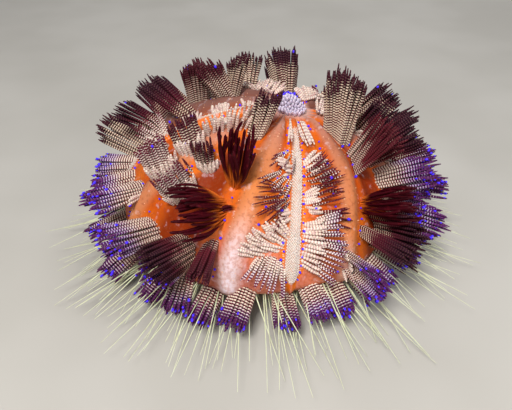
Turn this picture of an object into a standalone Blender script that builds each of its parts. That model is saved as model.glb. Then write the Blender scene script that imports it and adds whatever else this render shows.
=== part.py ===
"""A fire urchin, one of the leather sea urchins, life size, as it stands on the sea bed.

Metres, +Z up, floor at zero, +Y towards the back. The body is a dome over a flat
underside. Its zones run down from an apex that lies to the right of the middle: five
ambulacra, five interambulacra and the ten bare bands between them. Each zone is one
closed body, parted from the next by a thin cut, and carries its own tufts of spines.
"""

import math

import bmesh
import bpy
import numpy as np
from mathutils import Vector

# Body
BODY_RADIUS = 0.075
DOME_RISE = 0.054
WIDEST_LEVEL = 0.028
BELLY_DEPTH = 0.016
APEX = Vector((0.015, 0.004, 0.0))
CUT = 0.0004

# Apical disc and mouth
DISC_RADIUS = 0.009
CONE_RISE = 0.0045
CONE_PROFILE = ((0.72, 0.10), (0.45, 0.65), (0.22, 1.0))
DISC_SPINES = 8
DISC_SPINE_PLACE = 0.55
DISC_SPINE_LEVEL = 0.45
DISC_SPINE_SPLAY = 0.8
DISC_SPINE_LENGTH = 0.0055
MOUTH_RADIUS = 0.014
MOUTH_FILL = 0.94
MOUTH_INNER = 0.35
MOUTH_RIM_RISE = 0.0004
MOUTH_HOLLOW = 0.0015
TEETH = 5
TOOTH_LENGTH = 0.0045
TOOTH_RADII = (0.0016, 0.00064)
TOOTH_RING = 0.0024
TOOTH_TIP_RING = 0.00084
ROUND_SIDES = 20

# Bands: azimuth in degrees at the apex and at the edge, counter-clockwise from the front
BAND_LINES = (
    (-105, -111), (-52, -70), (-24, -24), (10, 10), (42, 42),
    (74, 74), (105, 105), (136, 136), (166, 164), (217, 208),
)
FRONT_STRIP_LINE = (-87, -91)
BAND_HALF = 0.0065
BAND_HALF_AT_DISC = 0.0015
BAND_FULL_AT = 0.045
BAND_HUMP = 0.0030
HUMP_REACH = 1.3
HOLLOW_DEPTH = 0.0022
STRIP_HALF = 0.0034
STRIP_HUMP = 0.0020

# Mesh rows
ROWS = 8
ZONE_COLUMNS = 6
BAND_COLUMNS = 4
ORAL_ROWS = 4
ORAL_COLUMNS = 5

# Spines
SPINE_SINK = 0.0028
SPINE_CLEAR = 0.0004
FLOOR_CLEAR = 0.0006
BANDED_RADII = (0.00062, 0.00034)
BANDED_SIDES = 3
CRIMSON_RADII = (0.0008, 0.0005)
CRIMSON_SIDES = 4
PATH_SAMPLES = 16
SAMPLES_NEAR_ROOT = 1.5
TURN_TRIES = 7

# Roots: distances kept from a zone's walls, and the first and last place down a zone
WALL_KEEP = 0.0018
ROOT_KEEP = 0.0026
FIRST_ROOT = 0.04
LAST_ROOT = 0.90

# A tuft is a fan of two rows of spines. Angles are in degrees.
ROOT_SPACING = 0.0017
ROW_OFFSET = 0.0009
FAN_HALF = 11
CROSS_HALF = 4
FAN_DRIFT = 1.5
FAN_SIDE_SHORTER = 0.10
LENGTH_SPREAD = (0.94, 1.04)
STRIP_INSET = 0.0052

# Tufts. A row gives the fraction down the zone, the inset from the column's line, the lean off the
# surface's normal, the swing of that lean (0 down the slope, 90 away from the zone's middle), the
# length, the number of spines and their kind. Lengths are in metres and angles in degrees.

FRONT_STRIP_COLUMN = (
    (0.07, 0.0, 62, 30, 0.011, 3, "club"),
    (0.20, 0.0, 58, 50, 0.013, 4, "club"),
    (0.33, 0.0, 55, 60, 0.016, 4, "club"),
    (0.47, 0.0, 52, 70, 0.018, 5, "club"),
    (0.64, 0.0, 50, 70, 0.020, 5, "club"),
    (0.80, 0.0, 45, 60, 0.023, 6, "club"),
)
STRIP_COLUMN = (
    (0.09, 0.0, 50, 20, 0.010, 2, "club"),
    (0.23, 0.0, 50, 40, 0.012, 3, "club"),
    (0.38, 0.0, 50, 40, 0.013, 3, "club"),
    (0.54, 0.0, 45, 30, 0.015, 3, "club"),
    (0.74, 0.0, 40, 20, 0.022, 5, "club"),
)
AMBULACRUM_COLUMN = (
    (0.36, 0.003, 12, 60, 0.022, 4, "banded"),
    (0.54, 0.003, 14, 50, 0.025, 5, "banded"),
    (0.74, 0.003, 22, 40, 0.029, 6, "banded"),
)
INTERAMBULACRUM_COLUMN = (
    (0.22, 0.003, 12, 60, 0.026, 5, "banded"),
    (0.41, 0.003, 12, 60, 0.027, 5, "banded"),
    (0.59, 0.003, 16, 20, 0.030, 6, "banded"),
    (0.79, 0.003, 24, 10, 0.030, 6, "banded"),
)
LEFT_OF_SECOND_BAND = (
    (0.20, 0.003, 10, 72, 0.030, 6, "banded"),
    (0.47, 0.003, 26, 173, 0.033, 8, "crimson"),
    (0.56, 0.004, 38, -45, 0.033, 8, "crimson"),
    (0.76, 0.003, 30, 35, 0.030, 6, "banded"),
)
RIGHT_OF_THIRD_BAND = (
    (0.26, 0.003, 17, 118, 0.038, 7, "banded"),
    (0.44, 0.003, 8, 130, 0.033, 7, "banded"),
    (0.62, 0.003, 14, -30, 0.033, 8, "crimson"),
    (0.77, 0.003, 18, 0, 0.032, 6, "banded"),
)
UPPER_LEFT_COLUMN = (
    (0.37, 0.004, 15, -50, 0.017, 5, "club"),
    (0.50, 0.005, 12, -20, 0.019, 5, "club"),
    (0.66, 0.006, 17, -30, 0.026, 6, "banded"),
    (0.80, 0.007, 14, 0, 0.028, 6, "banded"),
)
FRONT_SECTOR = 0
RIGHT_SECTOR = 1
LEFT_SECTOR = 9

# Tufts under the widest level, each at a turn below the edge and a share of the way across its zone
EDGE_TUFTS = ((14, 0.28), (24, 0.72))
EDGE_TUFT_DROP = 24
EDGE_TUFT_LENGTH = 0.027
EDGE_TUFT_COUNT = 6

# Long pale spines that reach out over the floor
FRINGE_PER_ZONE = 5
FRINGE_LENGTH = 0.052
FRINGE_LENGTH_SPREAD = (0.8, 1.08)
FRINGE_TURN = 30
FRINGE_TURN_SPREAD = (-6, 10)
FRINGE_SIDEWAYS = 0.007
FRINGE_TIP_LEVEL = 0.004
FRINGE_TIP_SPREAD = (-0.001, 0.006)
FRINGE_RADII = (0.0005, 0.00022)
FRINGE_TRIES = 8
PLACE_SPREAD = 0.3

# Short stout spines that stand on the floor
HOOF_RINGS = (0.026, 0.040, 0.053)
HOOF_COUNTS = (2, 2, 3)
HOOF_RADII = (0.0010, 0.0008, 0.0016)
HOOF_HEIGHT = 0.0018
HOOF_SIDES = 4
HOOF_PLACE_SPREAD = 0.12
HOOF_RING_SPREAD = (0.96, 1.04)
HOOF_SPLAY = (1.0, 1.06)

SKIN = (0.78, 0.36, 0.20, 1)
BAND_SKIN = (0.85, 0.45, 0.28, 1)
STRIP_SKIN = (0.84, 0.50, 0.34, 1)
ORAL_SKIN = (0.62, 0.38, 0.30, 1)
DISC_SKIN = (0.86, 0.78, 0.74, 1)
MOUTH_SKIN = (0.55, 0.34, 0.28, 1)
ROUGHNESS = 0.6
BAND_ROUGHNESS = 0.45

rng = np.random.default_rng(31)


def clear_scene():
    for obj in list(bpy.data.objects):
        bpy.data.objects.remove(obj, do_unlink=True)


def make_collection(name):
    collection = bpy.data.collections.new(name)
    bpy.context.scene.collection.children.link(collection)
    return collection


def make_material(name, colour, roughness=ROUGHNESS):
    material = bpy.data.materials.new(name)
    material.use_nodes = True
    shader = material.node_tree.nodes["Principled BSDF"]
    shader.inputs["Base Color"].default_value = colour
    shader.inputs["Roughness"].default_value = roughness
    shader.inputs["Metallic"].default_value = 0.0
    return material


def mix(low, high, share):
    return low + (high - low) * share


def smooth(share):
    share = min(max(share, 0.0), 1.0)
    return share * share * (3 - 2 * share)


def heading(azimuth):
    """The level unit vector at an azimuth in degrees."""
    return Vector((math.cos(math.radians(azimuth)), math.sin(math.radians(azimuth)), 0))


# The dome's surface. A place on it is a fraction, 0 at the disc and 1 at the edge, and an azimuth.


def reach(azimuth):
    """Distance from the apex to the body's outline, seen from above."""
    along = APEX.dot(heading(azimuth))
    return -along + math.sqrt(along * along - APEX.length_squared + BODY_RADIUS ** 2)


def share_of(fraction, azimuth):
    """Share of the way from the apex to the outline, in even steps of the dome's arc."""
    first = math.asin(DISC_RADIUS / reach(azimuth))
    return math.sin(mix(first, math.pi / 2, fraction))


def plain_surface(fraction, azimuth):
    """A point on the dome without its relief."""
    level = APEX + heading(azimuth) * reach(azimuth) * share_of(fraction, azimuth)
    rise = DOME_RISE * math.sqrt(max(0.0, 1 - level.length_squared / BODY_RADIUS ** 2))
    return Vector((level.x, level.y, WIDEST_LEVEL + rise))


def dome_normal(point):
    return Vector((
        point.x / BODY_RADIUS ** 2,
        point.y / BODY_RADIUS ** 2,
        (point.z - WIDEST_LEVEL) / DOME_RISE ** 2,
    )).normalized()


def bow(fraction):
    """Share of a line's turn that is done at a fraction: little near the disc, none left at the edge."""
    return math.sin(fraction * math.pi / 2) ** 2


def band_azimuth(number, fraction):
    """Azimuth of a band's middle line, rising without a break past a full turn."""
    turns, index = divmod(number, len(BAND_LINES))
    start, end = BAND_LINES[index]
    return mix(start, end, bow(fraction)) + 360 * turns


def strip_azimuth(sector, fraction):
    """Middle line of an ambulacrum."""
    if sector == 0:
        return mix(*FRONT_STRIP_LINE, bow(fraction))
    return (band_azimuth(sector, fraction) + band_azimuth(sector + 1, fraction)) / 2


def radius_at(fraction, azimuth):
    return reach(azimuth) * share_of(fraction, azimuth)


def band_half(radius):
    share = (radius - DISC_RADIUS) / (BAND_FULL_AT - DISC_RADIUS)
    return mix(BAND_HALF_AT_DISC, BAND_HALF, smooth(share))


def across(fraction, azimuth, middle):
    """Sideways distance of an azimuth from a middle line."""
    turn = (azimuth - middle + 180) % 360 - 180
    return math.radians(turn) * radius_at(fraction, azimuth)


def sector_at(fraction, azimuth):
    """Number of the sector that holds an azimuth, 0 at the front and rising counter-clockwise."""
    for sector in range(len(BAND_LINES)):
        low = band_azimuth(sector, fraction)
        width = band_azimuth(sector + 1, fraction) - low
        if (azimuth - low) % 360 < width:
            return sector
    return 0


def relief(fraction, azimuth):
    """Height of the surface over the plain dome: bands up, bare middles down, strips up."""
    sector = sector_at(fraction, azimuth)
    sides = [abs(across(fraction, azimuth, band_azimuth(n, fraction))) for n in (sector, sector + 1)]
    half = HUMP_REACH * band_half(radius_at(fraction, azimuth))
    near = min(sides)
    grown = smooth((radius_at(fraction, azimuth) - DISC_RADIUS) / DISC_RADIUS)
    if near < half:
        height = BAND_HUMP * math.cos(math.pi * near / (2 * half)) ** 2
    else:
        middle = 1 - abs(sides[0] - sides[1]) / max(sum(sides) - 2 * half, 1e-6)
        height = -HOLLOW_DEPTH * smooth(middle) if sector % 2 else 0.0
    if sector % 2 == 0:
        off = abs(across(fraction, azimuth, strip_azimuth(sector, fraction)))
        if off < STRIP_HALF:
            height += STRIP_HUMP * math.cos(math.pi * off / (2 * STRIP_HALF)) ** 2
    return height * grown


def surface(fraction, azimuth):
    point = plain_surface(fraction, azimuth)
    return point + dome_normal(point) * relief(fraction, azimuth)


def oral_surface(turn, azimuth):
    """A point on the underside: turn 0 is the edge and 90 degrees the flat middle."""
    edge = surface(1.0, azimuth)
    inward = math.sqrt(math.cos(math.radians(turn)))
    depth = BELLY_DEPTH * math.sin(math.radians(turn))
    return Vector((edge.x * inward, edge.y * inward, WIDEST_LEVEL - depth))


def wall_azimuth(band, fraction, side, inset):
    """Azimuth of a cut's face beside a band, inset away from the band's own margin."""
    middle = band_azimuth(band, fraction)
    radius = radius_at(fraction, middle)
    return middle + math.degrees(side * (band_half(radius) + inset) / radius)


def sector_walls(sector):
    def walls(fraction):
        low = wall_azimuth(sector, fraction, 1, CUT / 2)
        high = wall_azimuth(sector + 1, fraction, -1, CUT / 2)
        return low, high
    return walls


def band_walls(band):
    def walls(fraction):
        low = wall_azimuth(band, fraction, -1, -CUT / 2)
        high = wall_azimuth(band, fraction, 1, -CUT / 2)
        return low, high
    return walls


# Solids


def mesh_object(name, bm, collection, material):
    bmesh.ops.recalc_face_normals(bm, faces=bm.faces)
    mesh = bpy.data.meshes.new(name)
    bm.to_mesh(mesh)
    bm.free()
    obj = bpy.data.objects.new(name, mesh)
    obj.data.materials.append(material)
    collection.objects.link(obj)
    return obj


def wedge(name, rows, level, collection, material):
    """Loft from rows of surface points, inner row first and edge row last, down to one level plane."""
    bm = bmesh.new()
    top = [[bm.verts.new(p) for p in row] for row in rows]
    inner = [bm.verts.new((p.x, p.y, level)) for p in rows[0]]
    left = [inner[0]] + [bm.verts.new((row[0].x, row[0].y, level)) for row in rows[1:-1]]
    right = [inner[-1]] + [bm.verts.new((row[-1].x, row[-1].y, level)) for row in rows[1:-1]]
    left.append(top[-1][0])
    right.append(top[-1][-1])
    for low, high in zip(top, top[1:]):
        for n in range(len(low) - 1):
            bm.faces.new((low[n], low[n + 1], high[n + 1], high[n]))
    for side, column in ((left, 0), (right, -1)):
        for n in range(len(top) - 2):
            bm.faces.new((side[n], side[n + 1], top[n + 1][column], top[n][column]))
        bm.faces.new((side[-2], side[-1], top[-2][column]))
    for n in range(len(inner) - 1):
        bm.faces.new((inner[n], inner[n + 1], top[0][n + 1], top[0][n]))
    bm.faces.new(inner[::-1] + left[1:-1] + top[-1] + right[1:-1][::-1])
    return mesh_object(name, bm, collection, material)


def edge_level(point, level):
    return Vector((point.x, point.y, level))


def aboral_zone(name, walls, columns, collection, material):
    """A zone of the dome between two walls, from the disc down to the widest level."""
    level = WIDEST_LEVEL + CUT / 2
    rows = []
    for step in range(ROWS + 1):
        fraction = step / ROWS
        low, high = walls(fraction)
        row = [surface(fraction, mix(low, high, n / columns)) for n in range(columns + 1)]
        rows.append(row)
    rows[-1] = [edge_level(p, level) for p in rows[-1]]
    return wedge(name, rows, level, collection, material)


def oral_zone(name, band, collection, material):
    """A zone of the underside, from the mouth out to the edge, between the middles of two bands."""
    level = WIDEST_LEVEL - CUT / 2
    low = surface(1.0, band_azimuth(band, 1.0))
    high = surface(1.0, band_azimuth(band + 1, 1.0))
    rows = []
    for step in range(ORAL_ROWS + 1):
        turn = mix(math.degrees(math.acos((MOUTH_RADIUS / BODY_RADIUS) ** 2)), 0, step / ORAL_ROWS)
        row = []
        for n in range(ORAL_COLUMNS + 1):
            azimuth = mix(band_azimuth(band, 1.0), band_azimuth(band + 1, 1.0), n / ORAL_COLUMNS)
            row.append(oral_surface(turn, azimuth))
        row[0] += inset_from(low, high) * CUT / 2
        row[-1] += inset_from(high, low) * CUT / 2
        rows.append(row)
    rows[-1] = [edge_level(p, level) for p in rows[-1]]
    return wedge(name, rows, level, collection, material)


def inset_from(wall, other):
    """Unit vector square to a wall that runs from the middle to a point, towards another point."""
    square = Vector((-wall.y, wall.x, 0)).normalized()
    return square if square.dot(other) > 0 else -square


def stack(name, rings, collection, material):
    """A closed body from rings of points of equal count, bottom first."""
    bm = bmesh.new()
    loops = [[bm.verts.new(p) for p in ring] for ring in rings]
    count = len(rings[0])
    for low, high in zip(loops, loops[1:]):
        for n in range(count):
            bm.faces.new((low[n], low[(n + 1) % count], high[(n + 1) % count], high[n]))
    bm.faces.new(loops[0][::-1])
    bm.faces.new(loops[-1])
    return mesh_object(name, bm, collection, material)


def spine(path, radii, sides, collection, material):
    """A tapered spine along a path, grown ring by ring from its root."""
    along = (path[-1] - path[0]).normalized()
    side = along.orthogonal().normalized()
    other = along.cross(side)
    rings = []
    for point, radius in zip(path, radii):
        turns = [2 * math.pi * n / sides for n in range(sides)]
        rings.append([point + (side * math.cos(t) + other * math.sin(t)) * radius for t in turns])
    return stack("spine", rings, collection, material)


def join_spines(node, spines):
    """Fuses a collection of closed bodies with their node, and keeps the one closed body."""
    union = node.modifiers.new("spines", "BOOLEAN")
    union.operation = "UNION"
    union.operand_type = "COLLECTION"
    union.collection = spines
    union.solver = "MANIFOLD"
    graph = bpy.context.evaluated_depsgraph_get()
    fused = bpy.data.meshes.new_from_object(node.evaluated_get(graph))
    node.modifiers.remove(union)
    node.data = fused
    for obj in list(spines.objects):
        bpy.data.objects.remove(obj, do_unlink=True)
    keep_largest(node)


def closed_surfaces(bm):
    """The faces of each closed surface, joined over the edges where just two faces meet."""
    left = set(bm.faces)
    surfaces = []
    while left:
        found = [left.pop()]
        for face in found:
            for edge in face.edges:
                if len(edge.link_faces) != 2:
                    continue
                for far in edge.link_faces:
                    if far in left:
                        left.remove(far)
                        found.append(far)
        surfaces.append(found)
    return sorted(surfaces, key=len)


def keep_largest(node):
    """Drops every closed surface but the largest, such as a scrap or a sealed hollow."""
    bm = bmesh.new()
    bm.from_mesh(node.data)
    bmesh.ops.triangulate(bm, faces=bm.faces[:])
    for scrap in closed_surfaces(bm)[:-1]:
        bmesh.ops.delete(bm, geom=scrap, context="FACES")
    bm.to_mesh(node.data)
    bm.free()


# Where spines may stand


class Thicket:
    """Remembers every spine's straight runs, so that spines of two nodes stay clear.

    Planted spines wait in a collection until they are fused with their node.
    """

    def __init__(self, waiting):
        self.waiting = waiting
        self.starts = np.zeros((0, 3))
        self.ends = np.zeros((0, 3))
        self.radii = np.zeros(0)
        self.owners = np.zeros(0, dtype=int)

    def add(self, path, radius, owner):
        self.starts = np.vstack([self.starts, [tuple(p) for p in path[:-1]]])
        self.ends = np.vstack([self.ends, [tuple(p) for p in path[1:]]])
        self.radii = np.append(self.radii, [radius] * (len(path) - 1))
        self.owners = np.append(self.owners, [owner] * (len(path) - 1))

    def plant(self, path, radii, sides, owner, material):
        self.add(path, radii[0], owner)
        spine(path, radii, sides, self.waiting, material)

    def clear(self, path, radius, owner):
        others = self.owners != owner
        if not others.any():
            return True
        for start, end in zip(path, path[1:]):
            gaps = run_gaps(
                np.array(start), np.array(end), self.starts[others], self.ends[others]
            )
            if (gaps < self.radii[others] + radius + SPINE_CLEAR).any():
                return False
        return True


def run_gaps(start, end, starts, ends):
    """Least distance from one straight run to each of many."""
    d1 = end - start
    d2 = ends - starts
    r = start - starts
    a = d1 @ d1
    e = (d2 * d2).sum(1)
    f = (d2 * r).sum(1)
    c = r @ d1
    b = d2 @ d1
    spread = a * e - b * b
    s = np.clip(np.where(spread > 1e-16, (b * f - c * e) / np.maximum(spread, 1e-16), 0), 0, 1)
    t = np.clip((b * s + f) / e, 0, 1)
    s = np.clip((b * t - c) / a, 0, 1)
    near = start + s[:, None] * d1
    far = starts + t[:, None] * d2
    return np.linalg.norm(near - far, axis=1)


def samples(path):
    """Points along a path, close together near its root."""
    start, end = path
    shares = [(step / PATH_SAMPLES) ** SAMPLES_NEAR_ROOT for step in range(PATH_SAMPLES + 1)]
    return [start.lerp(end, share) for share in shares]


def clear_of_body(path, radius, sector):
    """True when a spine stays off every zone but its own, and off the floor."""
    for point in samples(path):
        if point.z - radius < FLOOR_CLEAR:
            return False
        if point.z < WIDEST_LEVEL + SPINE_CLEAR + radius:
            azimuth = math.degrees(math.atan2(point.y - APEX.y, point.x - APEX.x))
            outline = Vector(surface(1.0, azimuth)[:2]).length
            if Vector((point.x, point.y)).length < outline + radius + SPINE_CLEAR:
                return False
            continue
        if over_dome(point)[2] < radius + SPINE_CLEAR and not inside_sector(sector, point, radius):
            return False
    return True


def over_dome(point):
    """Fraction and azimuth of the surface under a point, and the point's height over it."""
    local = Vector((point.x, point.y, point.z - WIDEST_LEVEL))
    scaled = Vector((local.x / BODY_RADIUS, local.y / BODY_RADIUS, local.z / DOME_RISE)).length
    foot = local / scaled
    flat = Vector((foot.x - APEX.x, foot.y - APEX.y, 0))
    azimuth = math.degrees(math.atan2(flat.y, flat.x))
    first = math.asin(DISC_RADIUS / reach(azimuth))
    share = min(flat.length / reach(azimuth), 1.0)
    fraction = min(max((math.asin(share) - first) / (math.pi / 2 - first), 0.0), 1.0)
    height = (local - foot).length * (1 if scaled > 1 else -1)
    return fraction, azimuth, height - relief(fraction, azimuth)


def inside_sector(sector, point, keep):
    """True when a point is between its zone's two walls, which stand upright."""
    flat = Vector((point.x - APEX.x, point.y - APEX.y, 0))
    azimuth = math.degrees(math.atan2(flat.y, flat.x))
    first = math.asin(DISC_RADIUS / reach(azimuth))
    share = min(flat.length / reach(azimuth), 1.0)
    fraction = (math.asin(share) - first) / (math.pi / 2 - first)
    if fraction < 0 or flat.length < DISC_RADIUS + CUT + keep:
        return False
    low = band_azimuth(sector, fraction)
    high = band_azimuth(sector + 1, fraction)
    azimuth = low + (azimuth - low) % 360
    if azimuth > high:
        return False
    half = band_half(radius_at(fraction, azimuth)) + CUT + keep
    return (
        abs(across(fraction, azimuth, low)) > half and abs(across(fraction, azimuth, high)) > half
    )


def surface_axes(fraction, azimuth):
    """Normal, downhill and sideways unit vectors of the dome at a place."""
    normal = dome_normal(plain_surface(fraction, azimuth))
    down = heading(azimuth)
    down = (down - normal * normal.dot(down)).normalized()
    return normal, down, normal.cross(down)


def column_azimuth(sector, side, from_strip, fraction, inset):
    """Azimuth of a column's root at an inset into its zone."""
    if from_strip:
        middle = strip_azimuth(sector, fraction)
        return middle + math.degrees(side * STRIP_INSET / radius_at(fraction, middle))
    band = sector + (side > 0)
    return wall_azimuth(band, fraction, -side, inset)


def foot_in_zone(foot, sector, keep):
    """The place on the surface nearest a spine's foot, well inside the walls of its zone."""
    fraction, azimuth, _ = over_dome(foot)
    fraction = min(max(fraction, FIRST_ROOT), LAST_ROOT)
    low = wall_azimuth(sector, fraction, 1, keep)
    high = wall_azimuth(sector + 1, fraction, -1, keep)
    azimuth = low + (azimuth - low + 90) % 360 - 90
    if low < high:
        azimuth = min(max(azimuth, low), high)
    else:
        azimuth = (low + high) / 2
    return surface(fraction, azimuth)


def tuft_frame(sector, side, from_strip, row):
    """Root, axis, broad direction and narrow direction of a tuft."""
    fraction, inset, lean, swing = row[:4]
    azimuth = column_azimuth(sector, side, from_strip, fraction, inset)
    normal, down, sideways = surface_axes(fraction, azimuth)
    swing = math.radians(swing)
    lean = math.radians(lean)
    level = down * math.cos(swing) + sideways * (side * math.sin(swing))
    axis = normal * math.cos(lean) + level * math.sin(lean)
    broad = normal.cross(level)
    root = foot_in_zone(surface(fraction, azimuth), sector, ROOT_KEEP)
    return root, axis, broad, broad.cross(axis)


def tuft_spines(root, axis, broad, narrow, length, count):
    """Foot, direction and length of each spine of a fan."""
    made = []
    for n in range(count):
        u = 2 * n / (count - 1) - 1
        v = 1 if n % 2 else -1
        foot = root + broad * (u * ROOT_SPACING * (count - 1) / 2) + narrow * (v * ROW_OFFSET)
        spread = math.radians(FAN_HALF * u + rng.uniform(-FAN_DRIFT, FAN_DRIFT))
        tip = math.radians(CROSS_HALF * v + rng.uniform(-FAN_DRIFT, FAN_DRIFT))
        way = (axis + broad * math.tan(spread) + narrow * math.tan(tip)).normalized()
        rounded = 1 - FAN_SIDE_SHORTER * u * u
        made.append((foot, way, length * rounded * rng.uniform(*LENGTH_SPREAD)))
    return made


def plant_spine(foot, way, length, kind, sector, thicket, material):
    """Adds a spine, turned towards the normal by steps until it is clear of the other nodes."""
    foot = foot_in_zone(foot, sector, WALL_KEEP)
    normal = dome_normal(foot)
    radii = CRIMSON_RADII if kind == "crimson" else BANDED_RADII
    sides = CRIMSON_SIDES if kind == "crimson" else BANDED_SIDES
    for turn in range(TURN_TRIES):
        aim = way.lerp(normal, turn / TURN_TRIES).normalized()
        path = [foot - normal * SPINE_SINK, foot + aim * length]
        if clear_of_body(path, radii[0], sector) and thicket.clear(path, radii[0], sector):
            thicket.plant(path, radii, sides, sector, material)
            return


def sector_columns(sector):
    """Side, whether it follows the strip, and the rows of each column of a sector."""
    if sector % 2 == 0:
        if sector == FRONT_SECTOR:
            return [(side, True, FRONT_STRIP_COLUMN) for side in (-1, 1)]
        columns = [(side, True, STRIP_COLUMN) for side in (-1, 1)]
        return columns + [(side, False, AMBULACRUM_COLUMN) for side in (-1, 1)]
    low = RIGHT_OF_THIRD_BAND if sector == RIGHT_SECTOR else INTERAMBULACRUM_COLUMN
    low = UPPER_LEFT_COLUMN if sector == LEFT_SECTOR else low
    high = LEFT_OF_SECOND_BAND if sector == LEFT_SECTOR else INTERAMBULACRUM_COLUMN
    return [(-1, False, low), (1, False, high)]


def grow_tufts(sector, thicket, material):
    for side, from_strip, rows in sector_columns(sector):
        for row in rows:
            length, count, kind = row[4:]
            root, axis, broad, narrow = tuft_frame(sector, side, from_strip, row)
            for foot, way, reach_out in tuft_spines(root, axis, broad, narrow, length, count):
                plant_spine(foot, way, reach_out, kind, sector, thicket, material)


# Underside

def zone_azimuth(band, share):
    return mix(band_azimuth(band, 1.0), band_azimuth(band + 1, 1.0), share)


def outward(point):
    return Vector((point.x, point.y, 0)).normalized()


def grow_fringe(band, owner, thicket, material):
    """Long pale spines that reach out over the floor."""
    for n in range(FRINGE_PER_ZONE):
        for _ in range(FRINGE_TRIES):
            share = (n + 0.5 + rng.uniform(-PLACE_SPREAD, PLACE_SPREAD)) / FRINGE_PER_ZONE
            turn = FRINGE_TURN + rng.uniform(*FRINGE_TURN_SPREAD)
            foot = oral_surface(turn, zone_azimuth(band, share))
            out = outward(foot)
            side = Vector((-out.y, out.x, 0))
            length = FRINGE_LENGTH * rng.uniform(*FRINGE_LENGTH_SPREAD)
            tip = foot + out * length + side * rng.uniform(-FRINGE_SIDEWAYS, FRINGE_SIDEWAYS)
            tip.z = FRINGE_TIP_LEVEL + rng.uniform(*FRINGE_TIP_SPREAD)
            way = (tip - foot).normalized()
            path = [foot - way * SPINE_SINK, tip]
            if thicket.clear(path, FRINGE_RADII[0], owner):
                thicket.plant(path, FRINGE_RADII, BANDED_SIDES, owner, material)
                break


def grow_edge_tufts(band, owner, thicket, material):
    """Tufts that hang down and out over the floor."""
    for turn, share in EDGE_TUFTS:
        root = oral_surface(turn, zone_azimuth(band, share))
        out = outward(root)
        broad = Vector((-out.y, out.x, 0))
        drop = math.radians(EDGE_TUFT_DROP)
        axis = out * math.cos(drop) - Vector((0, 0, 1)) * math.sin(drop)
        fan = tuft_spines(root, axis, broad, broad.cross(axis), EDGE_TUFT_LENGTH, EDGE_TUFT_COUNT)
        for foot, way, length in fan:
            plant_edge_spine(foot, way, length, out, owner, thicket, material)


def plant_edge_spine(foot, way, length, out, owner, thicket, material):
    """Adds a hanging spine, raised towards the level by steps until it is clear."""
    for turn in range(TURN_TRIES):
        aim = way.lerp(out, turn / TURN_TRIES).normalized()
        path = [foot - aim * SPINE_SINK, foot + aim * length]
        above_floor = path[1].z > FLOOR_CLEAR + BANDED_RADII[0]
        if above_floor and thicket.clear(path, BANDED_RADII[0], owner):
            thicket.plant(path, BANDED_RADII, BANDED_SIDES, owner, material)
            return


def grow_hoofs(band, owner, thicket, material):
    """Short stout spines that end in flat hoofs on the floor."""
    for ring, count in zip(HOOF_RINGS, HOOF_COUNTS):
        for n in range(count):
            share = (n + 0.5 + rng.uniform(-HOOF_PLACE_SPREAD, HOOF_PLACE_SPREAD)) / count
            out = outward(oral_surface(0, zone_azimuth(band, share)))
            radius = ring * rng.uniform(*HOOF_RING_SPREAD)
            level = WIDEST_LEVEL - BELLY_DEPTH * math.sqrt(1 - (radius / BODY_RADIUS) ** 4)
            foot = out * radius + Vector((0, 0, level))
            flat = out * (radius * rng.uniform(*HOOF_SPLAY))
            neck = flat.lerp(foot, HOOF_HEIGHT / level)
            path = [foot + Vector((0, 0, SPINE_SINK)), neck, flat]
            level_stack(path, HOOF_RADII, HOOF_SIDES, thicket.waiting, material)
            thicket.add(path, max(HOOF_RADII), owner)


def level_stack(path, radii, sides, collection, material):
    """A column of level rings, so that its foot is flat on the floor."""
    rings = []
    for point, radius in sorted(zip(path, radii), key=lambda pair: pair[0].z):
        turns = [2 * math.pi * n / sides for n in range(sides)]
        rings.append([point + Vector((math.cos(t), math.sin(t), 0)) * radius for t in turns])
    return stack("hoof", rings, collection, material)


def make_disc(collection, thicket, material):
    """The apical disc with its low cone and small white spines."""
    turns = [360 * n / ROUND_SIDES for n in range(ROUND_SIDES)]
    edge = [APEX + heading(t) * (DISC_RADIUS - CUT) for t in turns]
    rim = [Vector((p.x, p.y, plain_surface(0, t).z)) for p, t in zip(edge, turns)]
    base = [Vector((p.x, p.y, WIDEST_LEVEL + CUT / 2)) for p in edge]
    middle = sum(rim, Vector()) / ROUND_SIDES
    rings = [base, rim]
    for share, rise in CONE_PROFILE:
        rings.append([middle + (p - middle) * share + Vector((0, 0, CONE_RISE * rise)) for p in rim])
    node = stack("apical_disc", rings, collection, material)
    for n in range(DISC_SPINES):
        around = heading(360 * n / DISC_SPINES)
        level = Vector((0, 0, CONE_RISE * DISC_SPINE_LEVEL))
        foot = middle + around * (DISC_RADIUS * DISC_SPINE_PLACE) + level
        way = (around * DISC_SPINE_SPLAY + Vector((0, 0, 1))).normalized()
        path = [foot - way * SPINE_SINK, foot + way * DISC_SPINE_LENGTH]
        spine(path, CRIMSON_RADII, BANDED_SIDES, thicket.waiting, material)
    join_spines(node, thicket.waiting)


def make_mouth(collection, thicket, material):
    """The disc round the mouth, with the tips of the five teeth."""
    low = WIDEST_LEVEL - BELLY_DEPTH
    rings = []
    for radius, level in (
        (MOUTH_RADIUS * MOUTH_INNER, low + MOUTH_HOLLOW),
        (MOUTH_RADIUS * MOUTH_FILL, low + MOUTH_RIM_RISE),
        (MOUTH_RADIUS * MOUTH_FILL, WIDEST_LEVEL - CUT / 2),
    ):
        around = [heading(360 * n / ROUND_SIDES) * radius for n in range(ROUND_SIDES)]
        rings.append([edge_level(p, level) for p in around])
    node = stack("mouth", rings, collection, material)
    for n in range(TEETH):
        around = heading(360 * n / TEETH)
        root = edge_level(around * TOOTH_RING, low + MOUTH_HOLLOW)
        tip = edge_level(around * TOOTH_TIP_RING, low + MOUTH_HOLLOW - TOOTH_LENGTH)
        sunk = root + (root - tip).normalized() * SPINE_SINK
        spine([sunk, tip], TOOTH_RADII, CRIMSON_SIDES, thicket.waiting, material)
    join_spines(node, thicket.waiting)


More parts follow.
